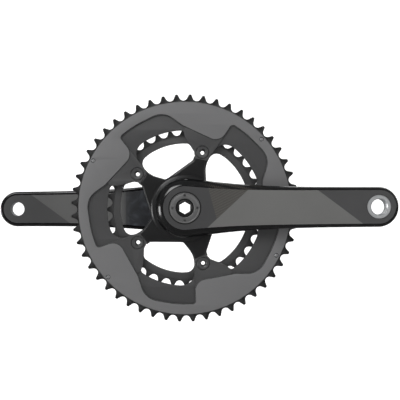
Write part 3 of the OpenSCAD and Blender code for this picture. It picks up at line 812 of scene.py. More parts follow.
class Finishes:
    """Every material of the crankset, made once."""

    def __init__(self, fx: Effects) -> None:
        """Builds the materials."""
        # Dark colour painted along rounded edges: painted shade.
        painted_edge_shade = (0.03, 0.03, 0.03)
        weave = Band(starts=(0.966, 0.257, 25.8), ends=(-0.678, 0.735, -27.6))
        patch = Band(starts=(0.678, -0.735, 27.6), ends=(-0.606, -0.796, -86.4))
        self.face = ArmFace("arm_face", (0.034, 0.034, 0.035), (0.040, 0.040, 0.041), (0.104, 0.104, 0.101),
                            (0.030, 0.029, 0.026), (0.092, 0.086, 0.078), weave, patch).make(fx)
        inner_patch = Band(starts=(0.593, 0.805, -84.5), ends=(-1.0, 0.0, 62.0))
        self.inner_face = ArmFace("arm_inner_face", (0.036, 0.036, 0.037), (0.040, 0.040, 0.041),
                                  (0.074, 0.074, 0.073), (0.05, 0.048, 0.045), (0.11, 0.106, 0.10),
                                  Band(starts=(0.593, 0.805, -84.5), ends=(-0.593, -0.805, 78.0)),
                                  inner_patch, marbled_from=-62.0).make(fx)
        self.gloss = GlossCarbon("arm_gloss").make(fx)
        # The rings' edge colours, darker than their bodies, paint shade along their rounded edges and round the teeth.
        self.ring_face = Metal("ring_face", (0.140, 0.140, 0.142), (0.012, 0.012, 0.012), 0.25, 0.55, edge_shading=1.3).make(fx)
        self.ring_tab = Metal("ring_tab", (0.052, 0.052, 0.053), (0.012, 0.012, 0.012), 0.25, 0.5, edge_shading=0.8).make(fx)
        self.ring_web = Metal("ring_web", (0.050, 0.050, 0.051), painted_edge_shade, 0.25, 0.5, edge_shading=0.9).make(fx)
        self.teeth = Metal("ring_teeth", (0.066, 0.066, 0.067), (0.008, 0.008, 0.008), 0.35, 0.5, edge_shading=1.5).make(fx)
        self.inner_ring = Metal("inner_ring", (0.060, 0.060, 0.061), painted_edge_shade, 0.35, 0.5, edge_shading=0.9).make(fx)
        # The spider's edge colour, a little lighter than its body, paints a faint highlight along its rounded edges.
        self.spider = Metal("spider_black", (0.012, 0.012, 0.0125), (0.03, 0.03, 0.03), 0.3, 0.30, 0.12,
                            edge_shading=0.25).make(fx)
        self.bolt = Metal("bolt_black", (0.10, 0.10, 0.102), (0.24, 0.24, 0.24), 0.7, 0.38, edge_shading=0.5).make(fx)
        self.cap = Metal("cap_silver", (0.125, 0.125, 0.125), (0.2, 0.2, 0.2), 0.5, 0.42, 0.2, turned=0.5,
                         edge_shading=0.5).make(fx)
        self.crank_bolt = Metal("crank_bolt_black", (0.012, 0.012, 0.012), (0.16, 0.16, 0.16), 0.5, 0.4,
                                edge_shading=0.9).make(fx)
        self.silver = Metal("insert_silver", (0.52, 0.53, 0.54), (0.8, 0.8, 0.8), 0.8, 0.36, 0.15, turned=0.4,
                            edge_shading=0.4).make(fx)
        self.steel = Metal("steel", (0.42, 0.42, 0.43), (0.7, 0.7, 0.7), 0.85, 0.33, turned=0.3).make(fx)
        self.polished = Metal("polished_steel", (0.62, 0.62, 0.63), (0.8, 0.8, 0.8), 1.0, 0.16, 0.05).make(fx)
        self.spindle = Metal("spindle_black", (0.03, 0.03, 0.031), (0.2, 0.2, 0.2), 0.6, 0.38, turned=0.3).make(fx)
        self.plastic = Moulded("black_plastic", (0.018, 0.018, 0.019)).make(fx)
        self.cage = Moulded("cage_nylon", (0.09, 0.085, 0.075)).make(fx)
        self.rubber = Moulded("seal_rubber", (0.016, 0.015, 0.015), 0.7).make(fx)


# ---------------------------------------------------------------- ring outlines


@dataclass(frozen=True)
class StarOutline:
    """Corners of one sector of the rings and the spider, with its bolt straight up."""

    pocket_r: float = 90.0
    tab_end: float = 47.2
    window_side: Point = field(default_factory=lambda: at(BOLT_R * 0.834, 7.4))
    heel: Point = field(default_factory=lambda: at(32.2, 21.1))
    toe: Point = field(default_factory=lambda: at(BOLT_R * 0.907, 68.5))
    waist: Point = field(default_factory=lambda: at(BOLT_R * 1.2145, 54.4))
    foot: Point = field(default_factory=lambda: at(BOLT_R + 22.4, 52.7))
    pocket_corner: Point = field(default_factory=lambda: at(90.3, 11.9))
    shoulder: Point = field(default_factory=lambda: at(92.65, 41.7))

    def pocket_edge(self) -> list[Corner]:
        """Outer edge of the pocket, from the tab clockwise."""
        return [(self.pocket_corner, 3.0)] + along(self.pocket_r, 15.5, 28) + [(self.shoulder, 30.0)]

    def window(self, radius: float, far: tuple[Point, Point], radii: tuple[float, float]) -> list[Point]:
        """Window closed off by a ring's opening, as a path that starts at the tab's right side.

        Args:
            radius: Radius of the ring's opening.
            far: The side that the opening meets at the window's far end, as two points.
            radii: Roundings at the near and the far end of the opening.

        Returns:
            The closed path.
        """
        near, end = crossing(self.window_side, self.pocket_corner, radius), crossing(*far, radius)
        first, last = (math.degrees(math.atan2(*p)) for p in (near, end))
        corners: list[Corner] = [(self.window_side, 25.0), (near, radii[0])]
        corners += along(radius, first + 11, last - 5, 14) + [(end, radii[1])]
        if radius > math.hypot(*self.waist):
            corners.append((self.waist, 5.0))
        return rounded(corners + [(self.toe, 8.0), (self.heel, 3.0)], 12)

    def _height(self, p: Point) -> float:
        """How far out a point lies along the nearer of its two tabs."""
        return max(p[1], turned(p, -SECTOR)[1])

    def opening(self, window: list[Point]) -> list[Point]:
        """Inner outline of a ring: its windows' far sides, joined by the ends of its tabs."""
        kept = [p for p in window if self._height(p) > self.tab_end]
        return [q for k in range(SECTORS, 0, -1) for q in bench_turn(kept, k)]

    def star(self, window: list[Point], reach: float) -> list[Point]:
        """Outline of the spider out to its arms' ends, from the near sides of its windows."""
        near = [self._height(p) < reach for p in window]
        start = next(i for i in range(len(window)) if near[i] and not near[i - 1])
        kept = [p for p in window[start:] + window[:start] if self._height(p) < reach]
        return [q for k in range(SECTORS) for q in bench_turn(kept, k)]

    def raised_edge(self) -> list[Point]:
        """Inner outline of the outer ring's raised face."""
        lobe = crossing(self.window_side, self.pocket_corner, BOLT_R + 14.3)
        one = [(lobe, 11.0)] + self.pocket_edge() + [(self.foot, 2.0)]
        return bench_turn(rounded([(turned(p, k * SECTOR), r) for k in range(SECTORS) for p, r in one], 10), 0)

    def bolt_holes(self, radius: float) -> list[list[Point]]:
        """Gives a round hole at each of the five bolts."""
        return [bench_turn([(x, y + BOLT_R) for x, y in circle(radius, 48)], k) for k in range(SECTORS)]

    def tab(self) -> list[Point]:
        """Outline of one bolt tab, from its straight inner end to under the raised face."""
        window = rounded([(self.window_side, 25.0), (crossing(self.window_side, self.pocket_corner, 80.0), 0.0),
                          (turned(self.foot, -SECTOR), 4.0), (turned(self.waist, -SECTOR), 5.0),
                          (turned(self.toe, -SECTOR), 8.0), (turned(self.heel, -SECTOR), 0.0)], 12)
        return [p for p in window if p[1] > self.tab_end]


# ---------------------------------------------------------------- sub-assemblies


@dataclass
class Crew:
    """What every sub-assembly needs: the finishes and the repeating tree."""

    finish: Finishes
    array: RingArray
    star: StarOutline

    def set_up(self, piece: bpy.types.Object, body: str, slot: str, *nodes: str) -> bpy.types.Object:
        """Puts a piece in the frame.

        Args:
            piece: The piece.
            body: The body that it rides on.
            slot: Its material slot in the record; not used.
            nodes: The frame's nodes that it stands for.

        Returns:
            The piece.
        """
        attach(piece, body)
        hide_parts(*nodes)
        log.info("%s: %d faces, for %s", piece.name, len(piece.data.polygons), ", ".join(nodes))
        return piece


@dataclass
class Tooth:
    """One chainring tooth, from the middle of one gap to the middle of the next."""

    count: int
    z: float
    thickness: float = 2.0
    rise: float = 1.75
    tip: float = 2.3
    depth: float = 4.5

    @property
    def pitch_r(self) -> float:
        """Pitch radius."""
        return CHAIN_PITCH / (2 * math.sin(math.pi / self.count))

    @property
    def root_r(self) -> float:
        """Radius at the bottom of a gap."""
        return self.pitch_r - ROLLER / 2

    def outline(self) -> list[Point]:
        """Gives the tooth's outer edge, with the first gap along x."""
        half, seat = math.pi / self.count, ROLLER / 2
        low = [(self.pitch_r - seat * math.cos(math.radians(s)), seat * math.sin(math.radians(s)))
               for s in range(0, 61, 6)]
        top_r = self.pitch_r + self.rise
        lean = half - math.asin(self.tip / 2 / top_r)
        top = [(top_r * math.cos(lean), top_r * math.sin(lean)),
               ((top_r + 0.25) * math.cos(half), (top_r + 0.25) * math.sin(half))]
        first = low + top
        mirrored = []
        for x, y in reversed(first[:-1]):
            mirrored.append((x * math.cos(2 * half) + y * math.sin(2 * half),
                             x * math.sin(2 * half) - y * math.cos(2 * half)))
        return first + mirrored

    def make(self, crew: Crew, name: str, finish: bpy.types.Material, phase: float) -> bpy.types.Object:
        """Builds all the teeth as one ring.

        Args:
            crew: The shared tools.
            name: The ring's name.
            finish: Its material.
            phase: Angle of the first gap from the right arm.

        Returns:
            The ring.
        """
        shell = Shell(name)
        points = self.outline()
        step = 2 * math.pi / self.count
        inner = [(self.root_r - self.depth, 0.0), ((self.root_r - self.depth) * math.cos(step),
                                                   (self.root_r - self.depth) * math.sin(step))]
        half = self.thickness / 2
        rows = []
        for z, share, edge in ((-half, 1.0, 1.0), (-half * 0.35, 0.12, 0.5), (half * 0.35, 0.12, 0.5), (half, 1.0, 1.0)):
            row = []
            for x, y in points:
                r, a = math.hypot(x, y), math.atan2(y, x)
                inset = share * (0.16 + 0.42 * max(0.0, (r - self.root_r) / (self.rise + ROLLER / 2)))
                pull = inset * (0.0 if r < self.root_r + 1e-3 else 1.0)
                mid = step / 2
                side = math.copysign(min(abs(a - mid), pull * 0.55 / r), a - mid)
                a2 = a - side * (-1 if r < self.root_r + 0.4 else 1)
                row.append(shell.vert((r - inset) * math.cos(a2 if r > self.root_r + 0.4 else a),
                                      (r - inset) * math.sin(a2 if r > self.root_r + 0.4 else a),
                                      self.z + z, edge))
            rows.append(row)
        ends = [[shell.vert(*p, self.z + z) for p in inner] for z in (-half, half)]
        for a, b in zip(rows, rows[1:]):
            shell.strip(a, b, closed=False)
        shell.strip(ends[0], ends[1], closed=False)
        for row, end in ((rows[0], ends[0]), (rows[-1], ends[1])):
            shell.cap([row + [end[1], end[0]]])
        ring = crew.array.repeat(shell.build([finish], sharp=40), self.count, finish, first=phase, weld=3e-6)
        ring.data.set_sharp_from_angle(angle=math.radians(40))
        return ring


@dataclass
class OuterChainring:
    """The big ring: teeth, a low web, bolt tabs and a raised face, in one piece."""

    crew: Crew
    z: float = 46.85
    back: float = 45.25
    tab_top: float = 48.85
    face_top: float = 49.65
    counterbore_r: float = 6.15
    seat_z: float = 47.5
    web_r: float = 73.0
    face_r: float = 100.23
    pin_angles: tuple[float, ...] = (41.5, 152.3, 221.7, 332.3)
    pin_r: float = 96.8

    def make(self) -> None:
        """Builds and dresses the ring."""
        f, star = self.crew.finish, self.crew.star
        tooth = Tooth(52, self.z)
        teeth = tooth.make(self.crew, "outer_teeth", f.teeth, 0.42)
        window = star.window(self.web_r, (star.waist, star.foot), (12.0, 4.5))
        web = Shell("outer_web")
        holes = star.bolt_holes(self.counterbore_r + 0.1)
        web.plate([circle(tooth.root_r - 2.0, 208), star.opening(window)] + holes, self.z - 1, self.z + 1, 0.3)
        face = Shell("outer_face")
        face.plate([circle(self.face_r, 208), star.raised_edge()] + self.pin_holes(), self.back, self.face_top,
                   0.75, 0.3, 4)
        tabs = [self.tab(k) for k in range(SECTORS)]
        parts = [web.build([f.ring_web]), face.build([f.ring_face]), teeth] + tabs
        slots = [f.ring_web, f.ring_face, f.teeth, f.ring_tab]
        ring = merge_slots("outer_ring", parts, slots)
        self.crew.set_up(ring, "crankset", "ring_grey", "outer_chainring")

    def pin_holes(self) -> list[list[Point]]:
        """Gives the hole round each shift pin."""
        return [circle(1.45, 24, (self.pin_r * math.cos(math.radians(a)), self.pin_r * math.sin(math.radians(a))))
                for a in self.pin_angles]

    def tab(self, sector: int) -> bpy.types.Object:
        """Builds one bolt tab with its counterbore and seat."""
        shell = Shell(f"tab_{sector}")
        centre = bench_turn([(0.0, BOLT_R)], sector)[0]
        hole = [(x + centre[0], y + centre[1]) for x, y in circle(self.counterbore_r, 48)]
        shell.plate([bench_turn(self.crew.star.tab(), sector), hole], self.back, self.tab_top, 0.3, 0.2)
        r = self.counterbore_r
        shell.lathe([(5.1, self.back + 0.1), (r + 0.4, self.back + 0.1), (r + 0.4, self.seat_z), (5.1, self.seat_z)],
                    48, centre)
        return shell.build([self.crew.finish.ring_tab])


def merge_slots(name: str, parts: list[bpy.types.Object], slots: list[bpy.types.Material]) -> bpy.types.Object:
    """Joins pieces of different materials into one piece that has them all.

    Args:
        name: Its name.
        parts: The pieces, each of one material.
        slots: All the materials.

    Returns:
        The joined piece.
    """
    for part in parts:
        number = slots.index(part.data.materials[0])
        for polygon in part.data.polygons:
            polygon.material_index = number
        part.data.materials.clear()
        for finish in slots:
            part.data.materials.append(finish)
        for polygon in part.data.polygons:
            polygon.material_index = number
    return join(name, parts)


@dataclass
class InnerChainring:
    """The small ring, behind the spider's tongues."""

    crew: Crew
    z: float = 40.15
    back: float = 38.65
    front: float = 41.85
    step_r: float = 67.6
    open_r: float = 61.19

    def make(self) -> None:
        """Builds and dresses the ring."""
        f, star = self.crew.finish, self.crew.star
        tooth = Tooth(36, self.z)
        teeth = tooth.make(self.crew, "inner_teeth", f.inner_ring, 5.7)
        window = star.window(self.open_r, (star.toe, star.waist), (9.0, 4.5))
        opening = star.opening(window)
        band = Shell("inner_band")
        holes = star.bolt_holes(5.2)
        band.plate([circle(tooth.root_r - 1.2, 144), opening] + holes, self.z - 1, self.z + 1, 0.3)
        band.plate([circle(self.step_r, 144), opening] + holes, self.back, self.front - 0.3, 0.3)
        pads = []
        for k in range(SECTORS):
            shell = Shell(f"pad_{k}")
            centre = bench_turn([(0.0, BOLT_R)], k)[0]
            hole = [(x + centre[0], y + centre[1]) for x, y in circle(5.1, 48)]
            outline = [(x + centre[0], y + centre[1]) for x, y in circle(6.6, 48)]
            shell.plate([outline, hole], self.front - 1, self.front, 0.2)
            pads.append(shell.build([f.inner_ring]))
        ring = join("inner_ring", [band.build([f.inner_ring]), teeth] + pads)
        self.crew.set_up(ring, "crankset", "ring_dark", "inner_chainring")


@dataclass
class Spider:
    """Five dished arms that run out of the right arm's hub and end in tongues between the rings."""

    crew: Crew
    tongue_low: float = 41.85
    tongue_high: float = 45.25
    arm_top: float = 48.85
    hub_top: float = 50.5
    hub_r: float = 32.2

    def make(self) -> None:
        """Builds and dresses the spider."""
        f, star = self.crew.finish, self.crew.star
        window = star.window(61.19, (star.toe, star.waist), (9.0, 4.5))
        arms = Shell("spider_arms")
        arms.plate([star.star(window, star.tab_end + 2.1), circle(18.5, 96)], self.tongue_low, self.arm_top, 2.2, 0.5, 6)
        arms.lathe([(18.5, self.tongue_low + 0.5), (self.hub_r - 1, self.tongue_low + 0.5),
                    (self.hub_r + 0.2, self.arm_top - 0.4), (self.hub_r - 0.4, self.arm_top + 0.5),
                    (self.hub_r - 1.6, self.hub_top - 0.35), (self.hub_r - 2.2, self.hub_top), (18.5, self.hub_top)], 144)
        tongues = []
        for k in range(SECTORS):
            shell = Shell(f"tongue_{k}")
            inner, outer = star.tab_end - 4, BOLT_R - 6
            bridge = bench_turn([(-6.5, inner), (6.5, inner), (6.5, outer), (-6.5, outer)], k)
            shell.plate([bridge], self.tongue_low, self.tongue_high, 0.3)
            low, high = self.tongue_low, self.tongue_high
            shell.lathe([(5.1, low), (7.5, low), (7.8, low + 0.3), (7.8, high - 0.3), (7.5, high), (5.1, high)], 48,
                        bench_turn([(0.0, BOLT_R)], k)[0])
            tongues.append(shell.build([f.spider]))
        spider = join("spider_star", [arms.build([f.spider])] + tongues)
        self.crew.set_up(spider, "crankset", "spider_black", "spider")


@dataclass
class RingBolts:
    """Chainring bolts and their sleeve nuts, four in the windows' view and one behind the arm."""

    crew: Crew
    seat: float = 47.55
    nut_seat: float = 38.65
    head_r: float = 5.7
    head_t: float = 1.2
    eye_r: float = 1.85
    socket_r: float = 2.75

    def bolt(self, name: str, flip: bool) -> bpy.types.Object:
        """Builds one bolt at the right arm's place."""
        shell = Shell(name)
        top, low = self.seat + self.head_t, self.nut_seat + 2.4
        profile = [(self.socket_r + 0.05, low), (3.9, low), (3.95, self.seat - 0.1), (self.head_r - 0.1, self.seat),
                   (self.head_r, self.seat + 0.15), (self.head_r, top - 0.3), (self.head_r - 0.35, top),
                   (4.1, top), (3.7, top - 0.12), (3.35, top - 0.12), (self.socket_r, top - 0.5)]
        profile = self.flipped(profile, flip)
        shell.lathe(profile, 40, (BOLT_R, 0.0))
        return shell.build([self.crew.finish.bolt])

    def nut(self, name: str, flip: bool) -> bpy.types.Object:
        """Builds one sleeve nut at the right arm's place."""
        shell = Shell(name)
        low, mouth = self.nut_seat - self.head_t, self.seat - 0.3
        profile = [(self.eye_r, low + 0.1), (2.3, low), (self.head_r - 0.3, low), (self.head_r, low + 0.3),
                   (self.head_r, self.nut_seat), (4.95, self.nut_seat), (4.95, mouth - 0.3), (4.7, mouth),
                   (4.02, mouth), (4.02, self.nut_seat + 0.4), (self.eye_r, self.nut_seat + 0.4)]
        shell.lathe(self.flipped(profile, flip), 40, (BOLT_R, 0.0))
        return shell.build([self.crew.finish.bolt])

    def flipped(self, profile: list[tuple[float, float]], flip: bool) -> list[tuple[float, float]]:
        """Turns a profile end for end between the two seats."""
        if not flip:
            return profile
        return [(r, self.seat + self.nut_seat - z) for r, z in profile]

    def make(self) -> None:
        """Builds and dresses the bolts and nuts."""
        crew, f = self.crew, self.crew.finish
        for kind, shape in (("bolt", self.bolt), ("nut", self.nut)):
            seen = crew.array.repeat(shape(f"ring_{kind}s", False), SECTORS - 1, f.bolt, first=SECTOR, step=SECTOR)
            seen.data.set_sharp_from_angle(angle=math.radians(SMOOTH_ANGLE))
            crew.set_up(seen, "crankset", "bolt_black", f"chainring_{kind}s")
            crew.set_up(shape(f"hidden_{kind}", True), "crankset", "bolt_black", f"hidden_ring_{kind}")


@dataclass
class CrankArm:
    """A hollow moulded arm: round hub, waisted shank and round end, with a sloping glossy shoulder."""

    crew: Crew
    side: Axis
    length: float = 177.5
    hub_r: float = 27.8
    tip_r: float = 18.3
    hub_in: float = 50.5
    hub_out: float = 63.0
    tip_in: float = 59.5
    tip_out: float = 72.5
    hub_bevel: float = 7.4
    tip_bevel: float = 2.8
    hub_slope: float = 8.0
    tip_slope: float = 3.2
    back_bevel: float = 2.2

    @staticmethod
    def _ease(t: float) -> float:
        """Smooth step from 0 to 1."""
        u = min(max(t, 0.0), 1.0)
        return u * u * (3 - 2 * u)

    @staticmethod
    def _fall(x: float, reach: float, power: float) -> float:
        """Smooth fall from 1 at the hub."""
        return math.exp(-((max(x, 0.0) / reach) ** power))

    def half_width(self, x: float) -> float:
        """Half the arm's width at a distance from the spindle."""
        return self.tip_r + (self.hub_r - self.tip_r) * self._fall(x, 0.293 * self.length, 1.25)

    def skin(self, x: float) -> list[tuple[float, float, float, int]]:
        """Levels of the skin from the inner face to the outer: inset, height, edge value, slot of the strip above."""
        near = self._fall(x, 0.34 * self.length, 1.5)
        bevel = self.tip_bevel + (self.hub_bevel - self.tip_bevel) * near
        slope = self.tip_slope + (self.hub_slope - self.tip_slope) * near
        top = self.hub_out + (self.tip_out - self.hub_out) * self._ease((x / self.length - 0.113) / 0.787)
        back = self.hub_in + (self.tip_in - self.hub_in) * self._ease((x / self.length - 0.254) / 0.591)
        rows = [(self.back_bevel + 1.5, back, 0.0, 0), (self.back_bevel, back, 1.0, 0)]
        for t in range(1, 6):
            a = math.pi / 2 * t / 5
            rows.append((self.back_bevel * (1 - math.sin(a)), back + self.back_bevel * (1 - math.cos(a)), 0.0, 0))
        rows.append((0.0, top - slope - 0.4, 0.0, 0))
        knots = [(0.0, -slope), (0.05 * bevel, -0.80 * slope), (0.20 * bevel, -0.54 * slope),
                 (0.42 * bevel, -0.31 * slope), (0.68 * bevel, -0.13 * slope), (0.90 * bevel, -0.03 * slope)]
        rows += [(inset, top + drop, 0.0, 0) for inset, drop in knots]
        rows += [(bevel, top, 1.0, 0), (bevel + 0.25, top, 0.0, 1)]
        return rows

    def stations(self) -> list[tuple[float, float, float]]:
        """Stations along the upper edge: centre, direction in degrees and distance along the arm."""
        hub = [(0.0, 180 - 90 * i / 28, 0.0) for i in range(28)]
        shank = [(self.length * i / 90, 90.0, self.length * i / 90) for i in range(90)]
        tip = [(self.length, 90 - 90 * i / 22, self.length) for i in range(23)]
        return hub + shank + tip

    def make(self) -> None:
        """Builds the arm, cuts its hub and pedal holes and dresses it."""
        f = self.crew.finish
        drive = self.side is Axis.DRIVE
        name = "right_arm" if drive else "left_arm"
        shell = Shell(f"{name}_shell")
        rows: list[list] = []
        levels = len(self.skin(0.0))
        stations = self.stations()
        for level in range(levels):
            ring = []
            for sign in (1, -1):
                run = []
                for centre, direction, x in stations:
                    inset, z, edge, _ = self.skin(x)[level]
                    reach = self.half_width(x) - inset
                    a = math.radians(direction)
                    y = reach * math.sin(a)
                    run.append((centre + reach * math.cos(a), y, z, edge))
                if sign < 0:
                    run = [(px, -py, pz, pe) for px, py, pz, pe in reversed(run[1:-1])]
                ring += run
            rows.append([shell.vert(*p) for p in ring])
        for a, b in zip(rows, rows[1:]):
            shell.strip(a, b)
        n = len(stations)
        for row, slot in ((rows[0], 2), (rows[-1], 1)):
            self.face(shell, row, n, slot)
        finishes = [f.gloss, f.face if drive else f.gloss, f.gloss if drive else f.inner_face]
        arm = shell.build(finishes, self.side, sharp=22)
        carve(arm, self.holes())
        self.crew.set_up(arm, "crankset", "carbon_arm", name)

    def face(self, shell: Shell, row: list, stations: int, slot: int) -> None:
        """Fills a face of the arm with rungs from its upper to its lower edge.

        Args:
            shell: The arm.
            row: The face's closed edge.
            stations: How many of its points make the upper edge.
            slot: Its material slot.
        """
        n = len(row)
        upper, lower = row[:stations], [row[0]] + [row[n - i] for i in range(1, stations - 1)] + [row[stations - 1]]
        across = 6
        previous = None
        for top, bottom in zip(upper, lower):
            if top is bottom:
                rung = [top] * (across + 1)
            else:
                rung = [top] + [shell.vert(*top.co.lerp(bottom.co, k / across)) for k in range(1, across)] + [bottom]
            if previous:
                shell.strip(previous, rung, closed=False, slot=slot)
            previous = rung

    def holes(self) -> list[bpy.types.Object]:
        """Gives the cutters of the hub's opening and the pedal's hole."""
        cutters = []
        for name, radius, x, low, high in (("hub_low", 18.52, 0.0, self.hub_in - 2, 59.0),
                                           ("hub_neck", 15.22, 0.0, 58.0, self.hub_out + 2),
                                           ("pedal_skin", 7.345, self.length, self.tip_in - 2, 61.0),
                                           ("pedal_body", 9.35, self.length, 60.7, self.tip_out - 1),
                                           ("pedal_seat", 10.82, self.length, self.tip_out - 1.6, self.tip_out + 2)):
            cutter = Shell(name)
            cutter.plate([[(px + x, py) for px, py in circle(radius, 96)]], low, high, 0.0, 0.0, 1)
            cutters.append(cutter.build([self.crew.finish.gloss], self.side))
        return cutters


@dataclass
class PedalInsert:
    """Silver threaded ring bonded in the arm's end."""

    crew: Crew
    side: Axis
    length: float = 177.5
    low: float = 60.7
    top: float = 72.5
    bore_r: float = 7.145
    flange_r: float = 10.75
    lead: float = 1.27

    def make(self) -> None:
        """Builds and dresses the insert."""
        top = self.top
        profile = [(9.3, self.low), (9.3, top - 1.6), (self.flange_r, top - 1.6), (self.flange_r, top - 0.25),
                   (self.flange_r - 0.25, top), (self.bore_r + 0.9, top), (self.bore_r + 0.1, top - 0.7)]
        turns = int((top - 0.9 - self.low) / self.lead)
        for i in range(turns):
            z = top - 0.9 - i * self.lead
            profile += [(self.bore_r, z), (self.bore_r + 0.55, z - self.lead * 0.4), (self.bore_r + 0.55, z - self.lead * 0.55),
                        (self.bore_r, z - self.lead * 0.92)]
        profile.append((self.bore_r, self.low))
        name = "right" if self.side is Axis.DRIVE else "left"
        shell = Shell(f"{name}_pedal_ring")
        shell.lathe(profile, 72, (self.length, 0.0))
        self.crew.set_up(shell.build([self.crew.finish.silver], self.side), "crankset", "insert_silver",
                         f"{name}_pedal_insert")


@dataclass
class HubEnd:
    """What shows in the right arm's hub: extractor cap, crank bolt and the collar round them."""

    crew: Crew
    cap_r: float = 14.3
    eye_r: float = 8.5
    cap_low: float = 60.7
    cap_top: float = 62.9
    pin_circle_r: float = 11.6
    pin_r: float = 1.15
    hex_af: float = 10.0

    def make(self) -> None:
        """Builds and dresses the cap and the bolt."""
        f, crew = self.crew.finish, self.crew
        low, top = self.cap_low, self.cap_top
        cap = Shell("cap_ring")
        cap.lathe([(self.eye_r, low), (self.cap_r, low), (self.cap_r, top - 0.3), (self.cap_r - 0.3, top),
                   (13.2, top), (13.0, top - 0.12), (12.7, top), (self.eye_r + 0.5, top), (self.eye_r + 0.1, top - 0.25)], 120)
        hole = Shell("pin_hole")
        hole.plate([[(x + self.pin_circle_r, y) for x, y in circle(self.pin_r, 24)]], top - 1.5, top + 1, 0.0, 0.0, 1)
        holes = crew.array.repeat(hole.build([f.cap]), 4, f.cap)
        cap_piece = carve(cap.build([f.cap]), [holes])
        crew.set_up(cap_piece, "crankset", "cap_silver", "extractor_cap")

        bolt = Shell("bolt_body")
        bolt.lathe([(2.0, 44.0), (9.0, 44.0), (9.0, 57.9), (11.8, 57.9), (11.8, 60.6), (8.3, 60.6), (8.3, 61.95),
                    (8.05, 62.2), (7.65, 62.2), (7.5, 61.9), (7.1, 61.9), (6.6, 62.2), (6.35, 62.25), (5.95, 61.95),
                    (2.0, 61.95)], 120)
        key = Shell("hex_key")
        key.plate([hexagon(self.hex_af)], 43.0, 64.0, 0.0, 0.0, 1)
        bolt_piece = carve(bolt.build([f.crank_bolt]), [key.build([f.crank_bolt])])
        crew.set_up(bolt_piece, "crankset", "bolt_black", "crank_bolt")


@dataclass
class Bearing:
    """Balls of one cartridge bearing."""

    crew: Crew
    side: Axis
    ball_r: float = 1.6
    circle_r: float = 18.0
    z: float = 30.5
    count: int = 20

    def make(self) -> None:
        """Builds and dresses the balls."""
        name = "drive" if self.side is Axis.DRIVE else "left"
        bm = bmesh.new()
        bmesh.ops.create_icosphere(bm, subdivisions=3, radius=self.ball_r * MM)
        bmesh.ops.translate(bm, verts=bm.verts, vec=(self.circle_r * MM, -self.side.value * self.z * MM, 0))
        for face in bm.faces:
            face.smooth = True
        mesh = bpy.data.meshes.new(f"{name}_balls")
        bm.to_mesh(mesh)
        bm.free()
        ball = bpy.data.objects.new(f"{name}_balls", mesh)
        bpy.context.collection.objects.link(ball)
        balls = self.crew.array.repeat(ball, self.count, self.crew.finish.polished)
        self.crew.set_up(balls, f"{name}_ball_set", "ball_steel", f"{name}_bearing_balls")


@dataclass
class ShiftPins:
    """Riveted pins in the outer ring's face, and the chain drop pin behind the arm."""

    crew: Crew
    angles: tuple[float, ...] = (41.5, 152.3, 221.7, 332.3)
    radius: float = 96.8
    back: float = 45.25
    top: float = 49.6

    def make(self) -> None:
        """Builds and dresses the pins."""
        shell = Shell("pins")
        for angle in self.angles:
            centre = (self.radius * math.cos(math.radians(angle)), self.radius * math.sin(math.radians(angle)))
            shell.lathe([(0.2, self.back - 0.8), (1.9, self.back - 0.8), (2.2, self.back - 0.5), (2.2, self.back),
                         (1.38, self.back), (1.38, self.top - 0.2), (1.1, self.top), (0.2, self.top)], 24, centre)
        self.crew.set_up(shell.build([self.crew.finish.steel]), "crankset", "pin_steel", "shift_pins")
        drop = Shell("drop_pin")
        x, top = 92.94, 52.65
        drop.lathe([(0.2, self.back), (2.0, self.back), (2.0, top - 0.5), (1.5, top), (0.2, top)], 32, (x, 0.0))
        self.crew.set_up(drop.build([self.crew.finish.steel]), "crankset", "pin_steel", "chain_drop_pin")


# ---------------------------------------------------------------- frame's own nodes, light and camera


def dress_nodes(frame: dict, f: Finishes) -> None:
    """Gives the frame's own visible nodes their finish.

    Args:
        f: The finishes.
    """
    chosen = {"spindle": f.spindle, "drive_spacer": f.spindle, "right_hub_insert": f.crank_bolt,
              "left_hub_insert": f.steel, "crank_bolt_washer": f.steel, "thrust_washer": f.steel,
              "drive_bearing_shield": f.plastic, "left_bearing_shield": f.plastic, "preload_adjuster": f.plastic,
              "preload_pinch_screw": f.steel}
    for side in ("drive", "left"):
        chosen[f"{side}_bearing_outer_race"] = f.steel
        chosen[f"{side}_bearing_inner_race"] = f.steel
        chosen[f"{side}_bearing_cage"] = f.cage
        chosen[f"{side}_bearing_seals"] = f.rubber
    for name, finish in chosen.items():
        node = frame["nodes"][name]
        node.data.materials.clear()
        node.data.materials.append(finish)
        log.info("%s keeps its own mesh", name)


